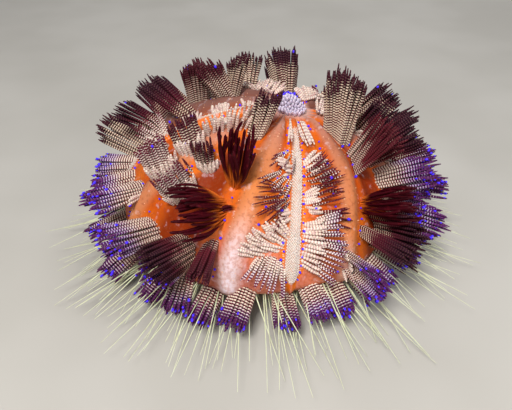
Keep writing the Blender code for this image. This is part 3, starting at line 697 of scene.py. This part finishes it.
# Growth of a tuft: bow and scatter of its roots, how much shorter its sides are, how many spines
# sway as one, how crimson spines curl in and on, and how the darkness of its spines varies
ROOT_BOW = 0.30
ROOT_SHAKE = 0.12
SIDES_SHORTER = 0.12
GROUPED = 3
CURL_IN = 0.34
CURL_ON = 0.08
STREAKED = 0.45
EVEN = 0.05

# White combs at the roots of tufts: turned and moved to the front of turned tufts, and leaned and
# moved down the slope from other tufts
COMB_TURN = 0.16
COMB_AHEAD = 0.0030
COMB_LEAN = 0.25
COMB_DOWN = 0.0012
COMB_WIDER = 1.05
MOST_LEAN = 1.2

# Venom sacs on spines: how far back from the tip, how far off the spine, and the share of spines
# with a sac above which a tuft has sacs further back too
SAC_BACK = 0.0012
SAC_STRAY = 0.0006
MANY_SACS = 0.3


def column_azimuth(sector, side, from_strip, fraction, inset):
    if from_strip:
        return beside(strip_azimuth(sector, fraction), fraction, side * (STRIP_INSET + inset))
    return wall_azimuth(sector + (side > 0), fraction, -side, inset)


def feet_in_zone(feet, sector):
    """The places on the surface nearest feet, between the bands at the sides of their zone."""
    fraction, azimuth = locate(feet)
    fraction = np.clip(fraction, FIRST_ROOT, LAST_ROOT)
    if sector is not None:
        low = wall_azimuth(sector, fraction, 1, ROOT_KEEP)
        high = wall_azimuth(sector + 1, fraction, -1, ROOT_KEEP)
        middle = (low + high) / 2
        azimuth = low + (azimuth - low + 90) % 360 - 90
        azimuth = np.clip(azimuth, np.minimum(low, middle), np.maximum(high, middle))
    return surface(fraction, azimuth)


def spine_marks(count, dark=0, violet=0, white=0):
    """A random seed for each spine, with its darkness, violet and whiteness."""
    return stacked(rng.uniform(0, 1, count), dark, violet, white)


def plant(bundles, sacs, root, axis, broad, length, width, kind, look, on_dome=True, sector=None):
    """Adds a tuft's spines to the bundle of their kind, and sacs at some of their tips."""
    pitch, rows, radius, fan, cross_fan, stray = SPINE_KINDS[kind]
    dark, violet, white, share = LOOKS[look]
    narrow = np.cross(broad, axis)
    u, v = np.meshgrid(np.linspace(-1, 1, round(width / pitch) + 1), np.arange(rows) - (rows - 1) / 2)
    u, v = u.reshape(-1, 1), v.reshape(-1, 1)
    count = len(u)
    shake = rng.normal(0, ROOT_SHAKE, (2, count, 1)) * pitch
    feet = root + broad * (u * width / 2 + shake[0])
    feet = feet + narrow * (v * pitch + ROOT_BOW * width * u * u + shake[1])
    if on_dome:
        feet = feet_in_zone(feet, sector)
    sway = np.repeat(rng.normal(0, stray, count), GROUPED)[:count, None]
    spread = np.radians(fan * u + 0.6 * sway + rng.normal(0, stray, (count, 1)))
    cross = np.radians(cross_fan * v + rng.normal(0, stray, (count, 1)))
    ways = unit(axis + broad * np.tan(spread) + narrow * np.tan(cross))
    lengths = length * (1 - SIDES_SHORTER * u[:, 0] ** 2) * rng.uniform(0.90, 1.05, count)
    radii = radius * rng.uniform(0.9, 1.1, count)
    bends = rng.normal(0, 0.02, (count, 3))
    if kind == "crimson":
        bends = bends - broad * u * CURL_IN + narrow * CURL_ON
        lengths = length * rng.uniform(0.74, 1.04, count)
    change = STREAKED if look == "streaked" else EVEN
    dark = dark + rng.normal(0, EVEN) + rng.normal(0, change, count)
    marks = spine_marks(count, dark, violet, white)
    tips, ends = bundles[kind].add(feet, ways, lengths, radii, bends, np.tile(broad, (count, 1)), marks)
    further = rng.uniform(0.1, 0.4, (count, 1)) * length
    for back in (SAC_BACK, further) if share > MANY_SACS else (SAC_BACK,):
        chosen = rng.random(count) < share
        spots = tips - ends * back + narrow * rng.normal(0, SAC_STRAY, (count, 1))
        sacs.append(np.concatenate([spots[chosen], ends[chosen]], axis=1))


def sector_columns(sector):
    """Side, whether it follows the strip, and the rows of each column of a sector."""
    strip = sector in STRIPS
    usual = STRIP_COLUMN if strip else INTERAMBULACRUM_COLUMN
    columns = [(side, strip, OWN_COLUMNS.get((sector, side), usual)) for side in (-1, 1)]
    if strip and sector:
        columns += [(side, False, AMBULACRUM_COLUMN) for side in (-1, 1) if (sector, side) != BARE_SIDE]
    return columns


def plant_row(bundles, sacs, fraction, azimuth, side, row, sector, turned=None):
    """Plants one tuft of the dome, and the white stubs at its root."""
    lean, swing, length, width, form, stub = (*row, 0)[:6]
    kind, look = form.split()
    if turned:
        lean, swing, length, width, look = turned
    normal, down, sideways = surface_axes(fraction, azimuth)
    turn = math.radians(swing)
    level = down * math.cos(turn) + sideways * (side * math.sin(turn))
    root = surface(fraction, azimuth)
    tilt = math.radians(lean)
    axis = normal * math.cos(tilt) + level * math.sin(tilt)
    broad = unit(np.cross(FACING, axis)) if turned else np.cross(normal, level)
    plant(bundles, sacs, root, axis, broad, length / 1000, width / 1000, kind, look, True, sector)
    if not stub:
        return
    if turned:
        axis = unit(axis + FACING * COMB_TURN)
        foot = root + unit(FACING - normal * (FACING @ normal)) * COMB_AHEAD
    else:
        tilt = min(tilt + COMB_LEAN, MOST_LEAN)
        axis = normal * math.cos(tilt) + level * math.sin(tilt)
        foot = root + level * COMB_DOWN
    wide = width / 1000 * COMB_WIDER
    plant(bundles, sacs, foot, axis, broad, stub / 1000, wide, "stub", "white", True, sector)


def grow_tufts(bundles, sacs):
    for sector in range(SECTORS):
        for side, from_strip, rows in sector_columns(sector):
            for place, (fraction, inset, *row) in enumerate(rows, STRIP_ROWS * from_strip):
                azimuth = column_azimuth(sector, side, from_strip, fraction, inset / 1000)
                turned = TURNED_TUFTS.get((sector, side, place))
                plant_row(bundles, sacs, fraction, azimuth, side, row, sector, turned)
    for fraction, azimuth, *row in EXTRA_TUFTS:
        plant_row(bundles, sacs, fraction, azimuth, 1, row, None)
    for fraction, azimuth, *row in FACING_TUFTS:
        plant_row(bundles, sacs, fraction, azimuth, 1, row, None, (*row[:4], row[4].split()[1]))


# Apical crown
CROWN_COUNT = 90
CROWN_LENGTH = 0.0042
CROWN_RADIUS = 0.00070
CROWN_SPLAY = 0.35
CROWN_LEAN = -0.60
CROWN_WIDTH = 0.80
CROWN_SHIFT = -0.0022
CROWN_LOOK = (0.1, 0.9, 1.0)
CROWN_SACS = 0.85
GOLDEN_TURN = 2.39996


def grow_crown(stubs, sacs):
    """White stubs over the apical disc, with violet sacs on the ones at the back."""
    n = np.arange(CROWN_COUNT)
    share = CROWN_WIDTH * np.sqrt((n + 0.5) / CROWN_COUNT)[:, None]
    out = heading(np.degrees(n * GOLDEN_TURN)) * share
    feet = dome_over(APEX + [0, CROWN_SHIFT] + out * DISC_RADIUS)
    feet[:, 2] += cone(np.linalg.norm(feet[:, :2] - APEX, axis=1) / DISC_RADIUS)
    ways = unit(np.concatenate([out * CROWN_SPLAY + [0, CROWN_LEAN], np.ones_like(share)], axis=1))
    lengths = CROWN_LENGTH * rng.uniform(0.8, 1.1, CROWN_COUNT)
    radii = np.full(CROWN_COUNT, CROWN_RADIUS)
    marks = spine_marks(CROWN_COUNT, *CROWN_LOOK)
    refs = np.tile([1.0, 0, 0], (CROWN_COUNT, 1))
    tips, ends = stubs.add(feet, ways, lengths, radii, np.zeros_like(refs), refs, marks)
    chosen = (feet[:, 1] > APEX[1] + 0.001) & (rng.random(CROWN_COUNT) < CROWN_SACS)
    sacs.append(np.concatenate([tips[chosen], ends[chosen]], axis=1))


# Underside
EDGE_TUFT_COUNT = 34
EDGE_TUFT_TURNS = (9, 20)
EDGE_TUFT_DROP = 24
EDGE_TUFT_LENGTH = 0.026
FRONT_SHORTER = 0.26
EDGE_TUFT_WIDTH = 0.0098
PLUME_CHANCE = 0.50
VIOLET_CHANCE = 1.1
FRINGE_CLUMPS = 64
FRINGE_IN_CLUMP = (3, 8)
FRINGE_LENGTH = 0.053
FRINGE_TURN = 28
FRINGE_TIP_LEVEL = 0.004
FRINGE_RADIUS = 0.00036
HOOF_RINGS = (0.020, 0.026, 0.033, 0.040, 0.047, 0.053)
HOOF_PITCH = 0.0062
HOOF_RADIUS = 0.0008
HOOF_SINK = 0.002
HOOF_END = 0.0004


def grow_edge_tufts(bundles, sacs):
    """Tufts under the widest level, that hang down and out over the floor."""
    for n in range(EDGE_TUFT_COUNT):
        azimuth = (n + rng.uniform(-0.2, 0.2)) * 360 / EDGE_TUFT_COUNT
        root = oral_surface(EDGE_TUFT_TURNS[n % 2] + rng.uniform(-3, 3), azimuth)
        out = unit(root * [1, 1, 0])
        out = unit(out + turned_left(out) * rng.normal(0, 0.16))
        drop = math.radians(EDGE_TUFT_DROP + rng.uniform(-9, 9))
        axis = out * math.cos(drop) - [0, 0, math.sin(drop)]
        front = 0.5 - 0.5 * math.sin(math.radians(azimuth))
        chance = rng.random()
        look = "violet" if chance < VIOLET_CHANCE * front else "dark"
        look = "plume" if chance < PLUME_CHANCE * front else look
        length = EDGE_TUFT_LENGTH * rng.uniform(0.88, 1.04) * (1 - FRONT_SHORTER * max(0, 2 * front - 1))
        width = EDGE_TUFT_WIDTH * rng.uniform(0.8, 1.15)
        plant(bundles, sacs, root, axis, turned_left(out), length, width, "banded", look, False)


def grow_fringe(bundle):
    """Long pale spines in clumps that reach out over the floor."""
    places = []
    for clump in range(FRINGE_CLUMPS):
        middle = (clump + rng.uniform(-0.3, 0.3)) * 360 / FRINGE_CLUMPS
        for _ in range(rng.integers(*FRINGE_IN_CLUMP)):
            places.append((middle + rng.normal(0, 1.9), FRINGE_TURN + rng.uniform(-16, 12)))
    azimuth, turns = np.array(places).T
    count = len(places)
    feet = oral_surface(turns, azimuth)
    out = unit(feet * [1, 1, 0])
    side = turned_left(out)
    lengths = FRINGE_LENGTH * mix(0.50, 1.0, rng.uniform(0, 1, (count, 1)) ** 1.7)
    tips = feet + out * lengths + side * rng.normal(0, 0.007, (count, 1))
    tips[:, 2] = FRINGE_TIP_LEVEL + rng.uniform(-0.002, 0.008, count)
    lengths = np.linalg.norm(tips - feet, axis=1)
    radii = FRINGE_RADIUS * rng.uniform(0.85, 1.15, count)
    bends = rng.normal(0, 0.02, (count, 3)) * [1, 1, 0.3]
    bundle.add(feet, unit(tips - feet), lengths, radii, bends, side, spine_marks(count))


def grow_hoofs(bundle):
    """Short stout spines that end in flat hoofs on the floor."""
    for ring in HOOF_RINGS:
        count = round(2 * math.pi * ring / HOOF_PITCH)
        turn = (np.arange(count) + rng.uniform(-0.3, 0.3, count)) * 2 * np.pi / count
        out = stacked(np.cos(turn), np.sin(turn), 0)
        radius = ring * rng.uniform(0.96, 1.04, (count, 1))
        level = WIDEST_LEVEL - BELLY_DEPTH * np.sqrt(1 - (radius / BODY_RADIUS) ** 4)
        roots = out * radius + (level + HOOF_SINK) * [0, 0, 1]
        ends = out * radius * rng.uniform(1.0, 1.08, (count, 1)) + [0, 0, HOOF_END]
        paths = mix(roots[:, None], ends[:, None], bundle.steps[:, None])
        radii = np.tile(HOOF_RADIUS * bundle.profile, (count, 1))
        bundle.parts.append((paths, radii, turned_left(out), spine_marks(count), roots))


# Small round things
BALL_RINGS = np.array([-0.95, -0.5, 0.1, 0.65])
BALL_SIDES = 7
BEAD_PITCH = 0.00092
BEAD_RADIUS = 0.00050
PORE_PITCH = 0.0017
PORE_RADIUS = 0.00032
SPECK_PITCH = 0.0016
SPECK_RADIUS = 0.00024
SAC_PITCHES = (0.0052, 0.0050)
SAC_RADII = (0.00040, 0.00072)

# Rows beside strips and bands: the fractions where they start and end, and the slope's whole length
BESIDE_FROM = 0.06
BESIDE_TO = 0.97
SLOPE_LENGTH = 0.11


def make_balls(name, centres, ways, radii, stretch, material):
    """Joined rounded beads, each closed, stretched along their own direction."""
    ways = unit(ways)[:, None]
    reaches = ways * (radii * stretch)[:, None, None]
    widths = radii[:, None] * np.sqrt(1 - BALL_RINGS ** 2)
    paths = centres[:, None] + reaches * BALL_RINGS[:, None]
    body = ring_points(paths, ways, [0.31, 0.57, 0.76], widths, BALL_SIDES)
    ends = centres[:, None] + reaches * [[1], [-1]]
    cells = (map_place(centres) * (1 - PATCH), PATCH)
    heights = np.linspace(0.15, 0.85, len(BALL_RINGS))
    obj = ringed_piece(name, body, ends, heights, cells, material)
    seed = np.repeat(rng.uniform(0, 1, len(centres)), len(BALL_RINGS) * BALL_SIDES + 2)
    set_marks(obj, "spine", stacked(seed, seed, seed))


def on_surface(places):
    """Points and normals of the surface at pairs of fraction and azimuth."""
    points = surface(*np.array(places).T)
    return points, dome_normal(points)


def strip_places():
    """Fractions and azimuths of the white strips' beads, in offset rows."""
    found = []
    rows = round((math.pi / 2) * BODY_RADIUS * 0.85 / BEAD_PITCH)
    for sector, row in product(STRIPS, range(rows)):
        fraction = mix(WHITE_FROM + 0.02, WHITE_TO - 0.01, row / rows)
        columns = int(white_half(sector, fraction) / BEAD_PITCH)
        for column in range(-columns, columns + 1):
            off = (column + 0.5 * (row % 2)) * BEAD_PITCH
            found.append((fraction, beside(strip_azimuth(sector, fraction), fraction, off)))
    return found


def slope_steps(start, pitch):
    """Fractions down the dome, a pitch apart."""
    return np.arange(start, BESIDE_TO, pitch / SLOPE_LENGTH)


def beside_strips(pitch, low, high, share=1.0):
    """Fractions and azimuths in the grooves beside the strips."""
    found = []
    for sector, side, fraction in product(STRIPS, (-1, 1), slope_steps(BESIDE_FROM, pitch)):
        if rng.random() <= share:
            off = side * (white_half(sector, fraction) + rng.uniform(low, high))
            azimuth = beside(strip_azimuth(sector, fraction), fraction, off)
            found.append((fraction + rng.normal(0, 0.002), azimuth))
    return found


def beside_bands(pitch, low, high, share):
    """Fractions and azimuths along the margins of the bands."""
    found = []
    for band, side, fraction in product(range(SECTORS), (-1, 1), slope_steps(BESIDE_FROM + 0.02, pitch)):
        if rng.random() < share:
            place = fraction + rng.normal(0, 0.01)
            found.append((place, wall_azimuth(band, place, side, rng.uniform(low, high))))
    return found


def make_strip_beads(material):
    points, normals = on_surface(strip_places())
    points = points + normals * 0.00004 + rng.normal(0, 0.00005, points.shape)
    radii = BEAD_RADIUS * rng.uniform(0.85, 1.12, len(points))
    make_balls("strip_beads", points, normals, radii, 0.8, material)


def make_tube_feet(material):
    """Pale pore bumps in ladders beside the strips, and specks along the margins of the bands."""
    pores = beside_strips(PORE_PITCH, 0.0006, 0.0018)
    specks = beside_bands(SPECK_PITCH, -0.0045, 0.0005, 0.30)
    points, normals = on_surface(pores + specks)
    ways = turned_left(points[:, :2] - APEX) + normals * 0.02
    radii = np.repeat([PORE_RADIUS, SPECK_RADIUS], [len(pores), len(specks)])
    radii = radii * rng.uniform(0.7, 1.25, len(points))
    make_balls("tube_feet", points, ways, radii, 1.7, material)


def make_sacs(sacs, material):
    """Violet venom sacs on spine tips, in the grooves and beside the bands."""
    grooves = beside_strips(SAC_PITCHES[0], 0.0010, 0.0022, 0.9)
    bands = beside_bands(SAC_PITCHES[1], 0.0002, 0.0022, 0.5)
    points, normals = on_surface(grooves + bands)
    loose = np.concatenate([points + normals * 0.0004, normals], axis=1)
    whole = np.concatenate(sacs + [loose])
    radii = rng.uniform(*SAC_RADII, len(whole))
    make_balls("venom_sacs", whole[:, :3], whole[:, 3:], radii, 1.45, material)


# Materials


class Graph:
    """A small helper over one material's nodes."""

    def __init__(self, name):
        self.material = bpy.data.materials.new(name)
        self.material.use_nodes = True
        self.tree = self.material.node_tree
        self.shader = self.tree.nodes["Principled BSDF"]

    def node(self, kind, inputs=(), **settings):
        """A new node, with values or links for some of its inputs."""
        made = self.tree.nodes.new(kind)
        for key, value in settings.items():
            setattr(made, key, value)
        self.fill(made, inputs)
        return made

    def fill(self, node, inputs):
        for key, value in dict(inputs).items():
            socket = node.inputs[key]
            if isinstance(value, tuple):
                socket.default_value = (*value, 1)[:len(socket.default_value)]
            elif isinstance(value, (int, float)):
                socket.default_value = value
            else:
                self.tree.links.new(value, socket)

    def math(self, operation, *values):
        return self.node("ShaderNodeMath", enumerate(values), operation=operation).outputs[0]

    def times(self, first, second):
        return self.math("MULTIPLY", first, second)

    def plus(self, first, second):
        return self.math("ADD", first, second)

    def line(self, value, factor, start):
        """The value times a factor, and a start."""
        return self.math("MULTIPLY_ADD", value, factor, start)

    def blend(self, share, first, second):
        inputs = {0: share, 6: first, 7: second}
        return self.node("ShaderNodeMix", inputs, data_type="RGBA", clamp_factor=True).outputs[2]

    def split(self, vector):
        return self.node("ShaderNodeSeparateXYZ", {0: vector}).outputs

    def marks(self, name):
        return self.split(self.node("ShaderNodeAttribute", attribute_name=name).outputs["Vector"])

    def place(self):
        return self.node("ShaderNodeTexCoord").outputs["Object"]

    def ramp(self, value, low, high, most=1.0):
        """A smooth rise from 0, where the value is low, to the most, where it is high."""
        inputs = {"Value": value, "From Min": low, "From Max": high, "To Max": most}
        return self.node("ShaderNodeMapRange", inputs, interpolation_type="SMOOTHSTEP").outputs[0]

    def noise(self, scale, detail=3.0):
        inputs = {"Vector": self.place(), "Scale": scale, "Detail": detail, "Roughness": 0.55}
        return self.node("ShaderNodeTexNoise", inputs).outputs["Fac"]

    def bump(self, height, strength, distance):
        inputs = {"Height": height, "Strength": strength, "Distance": distance}
        self.fill(self.shader, {"Normal": self.node("ShaderNodeBump", inputs).outputs[0]})

    def finish(self, colour, roughness, specular, subsurface=0.0):
        inputs = {"Base Color": colour, "Roughness": roughness, "Specular IOR Level": specular}
        if subsurface:
            inputs |= {"Subsurface Weight": subsurface, "Subsurface Scale": 0.003}
            inputs["Subsurface Radius"] = (1.0, 0.35, 0.2)
        self.fill(self.shader, inputs)
        return self.material


SALMON = (0.45, 0.185, 0.125)
BROWN_SALMON = (0.37, 0.130, 0.080)
ORANGE = (0.72, 0.155, 0.008)
SOFT_ORANGE = (0.64, 0.20, 0.050)
RED_ORANGE = (0.48, 0.066, 0.004)
# Deep brown for the bare hollow middles: partly their own darker tone, partly painted shade of the
# hollows
BARE_TONE_AND_SHADE = (0.22, 0.020, 0.001)
# Dim purple-brown for the back half of the dome: painted shade of the far side
FAR_SIDE_SHADE = (0.17, 0.074, 0.060)
FRONT_PALE = (0.73, 0.63, 0.68)
GRAIN_BROWN = (0.26, 0.060, 0.022)
STRIP_GAP = (0.60, 0.35, 0.25)
DISC_PINK = (0.60, 0.36, 0.31)
ORAL_BROWN = (0.26, 0.12, 0.07)
CREAM = (0.66, 0.52, 0.38)
WHITE = (0.82, 0.69, 0.60)
LILAC = (0.40, 0.34, 0.72)
MAROON = (0.078, 0.003, 0.014)
BRIGHT_MAROON = (0.15, 0.009, 0.016)
PURPLE_BLACK = (0.020, 0.0012, 0.009)
NIGHT_VIOLET = (0.05, 0.02, 0.30)
DIM_RING = (0.17, 0.085, 0.075)
STUB_WHITE = (0.82, 0.69, 0.57)
STUB_TAN = (0.73, 0.57, 0.44)
STUB_SPECK = (0.36, 0.13, 0.16)
STUB_VALLEY = (0.36, 0.16, 0.13)
STUB_LILAC = (0.70, 0.64, 0.86)
CRIMSON = (0.036, 0.0005, 0.0035)
CRIMSON_STREAK = (0.14, 0.008, 0.012)
AMBER = (0.58, 0.13, 0.015)
VIOLET = (0.07, 0.022, 1.0)
DEEP_VIOLET = (0.04, 0.012, 0.75)
LONG_PALE = (0.66, 0.68, 0.45)
LONG_OLIVE = (0.40, 0.38, 0.19)
BEAD_CREAM = (0.66, 0.56, 0.50)
BEAD_TAN = (0.58, 0.40, 0.34)
FOOT_PEACH = (0.80, 0.46, 0.28)
FOOT_ORANGE = (0.72, 0.30, 0.10)
FLOOR_GREY = (0.44, 0.42, 0.38)
FLOOR_PALE = (0.49, 0.47, 0.43)


def skin_material():
    graph = Graph("skin")
    band, strip, groove = graph.marks("zone")
    middle, under, disc = graph.marks("place")
    x, y, _ = graph.split(graph.place())
    fine = graph.noise(240, 4.0)
    grain = graph.noise(560, 4.0)
    patches = graph.ramp(graph.noise(26), 0.35, 0.70)
    colour = graph.blend(patches, RED_ORANGE, ORANGE)
    # The bare hollow middles darken to deep brown: their own tone together with painted shade of the
    # hollow
    colour = graph.blend(graph.ramp(middle, 0.0, 0.6, 0.95), colour, BARE_TONE_AND_SHADE)
    bare = graph.blend(graph.ramp(x, 0.015, 0.045), SALMON, BROWN_SALMON)
    bare = graph.blend(graph.ramp(y, -0.015, -0.042, graph.line(patches, 0.5, 0.45)), bare, SOFT_ORANGE)
    colour = graph.blend(graph.ramp(band, 0.05, 0.75), colour, bare)
    colour = graph.blend(graph.ramp(grain, 0.50, 0.66, 0.40), colour, GRAIN_BROWN)
    front = graph.ramp(y, -0.057, -0.077, graph.line(band, 0.78, 0.18))
    front = graph.times(front, graph.line(graph.ramp(grain, 0.62, 0.42), 0.46, 0.54))
    colour = graph.blend(front, colour, FRONT_PALE)
    # The back half is painted a dim purple-brown: painted shade on the far side, away from the light
    colour = graph.blend(graph.ramp(y, -0.008, 0.014, 0.9), colour, FAR_SIDE_SHADE)
    colour = graph.blend(graph.ramp(groove, 0.15, 0.8), colour, ORANGE)
    for share, paint in ((strip, STRIP_GAP), (disc, DISC_PINK), (under, ORAL_BROWN)):
        colour = graph.blend(share, colour, paint)
    colour = graph.blend(graph.ramp(fine, 0.57, 0.71, 0.32), colour, FRONT_PALE)
    graph.bump(fine, 0.3, 0.0004)
    return graph.finish(colour, graph.line(graph.ramp(fine, 0.2, 0.9), 0.25, 0.42), 0.11, 0.12)


def banded_material():
    """Bands that line up across a tuft, cream at the root and darker towards the tips."""
    graph = Graph("banded spines")
    along, share, seed = graph.marks("spine")
    dark, violet, white = graph.marks("tuft")
    phase = graph.plus(graph.times(along, 2 * math.pi / BAND_PERIOD_MM), graph.times(seed, 0.5))
    wave = graph.line(graph.math("COSINE", phase), 0.5, 0.5)
    rise = graph.math("POWER", share, 1.4)
    duty = graph.line(rise, graph.line(dark, 0.62, 0.18), graph.line(dark, 0.26, 0.20))
    duty = graph.plus(duty, graph.ramp(share, 0.76, 0.97, graph.line(white, -0.35, 0.5)))
    duty = graph.line(graph.plus(graph.noise(95, 2.0), -0.5), 0.9, duty)
    edge = graph.math("SUBTRACT", 1.0, duty)
    mask = graph.ramp(wave, graph.plus(edge, -0.12), graph.plus(edge, 0.12))
    tinted = graph.ramp(share, 0.35, 0.85, violet)
    pale = graph.blend(graph.times(tinted, 0.75), graph.blend(white, CREAM, WHITE), LILAC)
    deep = graph.blend(graph.ramp(share, 0.35, 0.9), MAROON, PURPLE_BLACK)
    deep = graph.blend(graph.times(white, 0.9), deep, BRIGHT_MAROON)
    deep = graph.blend(graph.times(tinted, 0.35), deep, NIGHT_VIOLET)
    deep = graph.blend(graph.ramp(wave, 0.30, 0.04, 0.42), deep, DIM_RING)
    graph.bump(wave, 0.5, 0.00015)
    return graph.finish(graph.blend(mask, pale, deep), 0.65, 0.12, 0.05)


def stub_material():
    """White beads with brown-pink valleys between them."""
    graph = Graph("white stubs")
    _, share, seed = graph.marks("spine")
    violet = graph.marks("tuft")[1]
    wave = graph.math("COSINE", graph.times(share, 2 * math.pi * STUB_BEADS))
    valley = graph.ramp(wave, 0.3, -0.8, graph.line(violet, -0.5, 0.72))
    speck = graph.ramp(graph.noise(620, 2.0), 0.52, 0.62)
    colour = graph.blend(seed, STUB_WHITE, STUB_TAN)
    colour = graph.blend(graph.times(speck, 0.48), colour, STUB_SPECK)
    colour = graph.blend(valley, colour, STUB_VALLEY)
    colour = graph.blend(graph.times(violet, 0.8), colour, STUB_LILAC)
    graph.bump(speck, 0.2, 0.0001)
    return graph.finish(colour, 0.55, 0.25, 0.05)


def crimson_material():
    """Amber and clear at the root, and black-red from the bend out."""
    graph = Graph("crimson spines")
    _, share, seed = graph.marks("spine")
    dark = graph.marks("tuft")[0]
    streak = graph.noise(420)
    reach_out = graph.times(graph.line(seed, 0.12, share), dark)
    colour = graph.blend(graph.ramp(reach_out, 0.22, 0.50), AMBER, CRIMSON)
    colour = graph.blend(graph.ramp(streak, 0.52, 0.75, 0.5), colour, CRIMSON_STREAK)
    graph.bump(streak, 0.3, 0.0002)
    return graph.finish(colour, 0.5, 0.08)


def plain_material(name, colour, darker, subsurface=0.08):
    graph = Graph(name)
    seed = graph.marks("spine")[2]
    speck = graph.noise(300)
    mask = graph.ramp(speck, 0.4, 0.8, graph.line(seed, 0.6, 0.2))
    graph.bump(speck, 0.2, 0.0002)
    return graph.finish(graph.blend(mask, colour, darker), 0.45, 0.4, subsurface)


def floor_material():
    graph = Graph("floor")
    tone = graph.ramp(graph.noise(9, 2.0), 0.3, 0.7)
    return graph.finish(graph.blend(tone, FLOOR_GREY, FLOOR_PALE), 0.75, 0.2)


# Stage
CAMERA_ELEVATION = 35.0
CAMERA_DISTANCE = 0.3225
FOCAL_PIXELS = 568.0
PICTURE = (512, 410)
BODY_IN_PICTURE = (261.0, 195.0)
SENSOR = 36.0
LIT_POINT = Vector((0, 0, 0.03))


def add_aimed(name, data, place, way):
    """Puts a camera or a light at a place, facing along a way."""
    obj = add_object(name, data)
    obj.location = place
    obj.rotation_mode = "QUATERNION"
    obj.rotation_quaternion = way.to_track_quat("-Z", "Y")
    return obj


def make_camera():
    """The photo's view: the body's middle, at the widest level, is a little off the picture's middle."""
    data = bpy.data.cameras.new("camera")
    data.sensor_width = SENSOR
    data.lens = FOCAL_PIXELS * SENSOR / PICTURE[0]
    data.shift_x = (PICTURE[0] / 2 - BODY_IN_PICTURE[0]) / PICTURE[0]
    data.shift_y = (BODY_IN_PICTURE[1] - PICTURE[1] / 2) / PICTURE[0]
    data.clip_start = 0.01
    data.clip_end = 20
    rise = math.radians(CAMERA_ELEVATION)
    target = Vector(SHIFT) + Vector((0, 0, WIDEST_LEVEL))
    back = Vector((0, -math.cos(rise), math.sin(rise)))
    bpy.context.scene.camera = add_aimed("camera", data, target + back * CAMERA_DISTANCE, -back)


def area_light(name, place, size, power, colour):
    data = bpy.data.lights.new(name, "AREA")
    data.shape = "SQUARE"
    data.size = size
    data.energy = power
    data.color = colour
    add_aimed(name, data, place, LIT_POINT - Vector(place))


def make_stage():
    bpy.ops.mesh.primitive_plane_add(size=8)
    floor = bpy.context.object
    floor.name = "floor"
    floor.data.materials.append(floor_material())
    area_light("key", (-0.15, -0.54, 0.76), 0.22, 9.0, (1.0, 0.98, 0.95))
    area_light("fill", (0.6, -0.5, 0.5), 0.6, 3.0, (0.97, 0.98, 1.0))
    area_light("back", (0.1, 0.8, 0.6), 0.6, 2.0, (1.0, 1.0, 1.0))
    world = bpy.data.worlds.new("world")
    world.use_nodes = True
    sky = world.node_tree.nodes["Background"].inputs
    sky["Color"].default_value = (0.9, 0.93, 1.0, 1)
    sky["Strength"].default_value = 0.28
    bpy.context.scene.world = world
    bpy.context.scene.view_settings.view_transform = "Standard"


def main():
    make_camera()
    make_stage()
    make_skin(skin_material())
    side_slot, strip_slot, low_slot = "interambulacrum_skin", "ambulacrum_skin", "oral_skin"
    banded = Bundle("banded_spines", side_slot, 11, 6, BANDED_PROFILE, 0.002)
    thin = Bundle("thin_spines", strip_slot, 9, 5, BANDED_PROFILE, 0.0015)
    stubs = Bundle("white_stubs", strip_slot, 4 * STUB_BEADS + 1, 6, STUB_PROFILE, 0.0012, BEAD_SWELL)
    crimson = Bundle("crimson_spines", side_slot, 26, 8, CRIMSON_PROFILE, 0.002)
    fringe = Bundle("long_spines", low_slot, 8, 6, NEEDLE_PROFILE, 0.002, patch=True)
    hoofs = Bundle("hoofed_spines", low_slot, 9, 6, HOOF_PROFILE, 0.0, patch=True)
    bundles = {"banded": banded, "thin": thin, "sparse": thin, "crimson": crimson}
    bundles |= {"stub": stubs, "plate": stubs, "finger": stubs}
    sacs = []
    grow_tufts(bundles, sacs)
    grow_crown(stubs, sacs)
    grow_edge_tufts(bundles, sacs)
    grow_fringe(fringe)
    grow_hoofs(hoofs)
    stripes = banded_material()
    banded.build(stripes, 75_000)
    thin.build(stripes, 75_000)
    stubs.build(stub_material())
    crimson.build(crimson_material())
    pale = plain_material("long spines", LONG_PALE, LONG_OLIVE)
    fringe.build(pale)
    hoofs.build(pale)
    make_strip_beads(plain_material("strip beads", BEAD_CREAM, BEAD_TAN))
    make_tube_feet(plain_material("tube feet", FOOT_PEACH, FOOT_ORANGE))
    make_sacs(sacs, plain_material("venom sacs", VIOLET, DEEP_VIOLET, 0.0))


main()
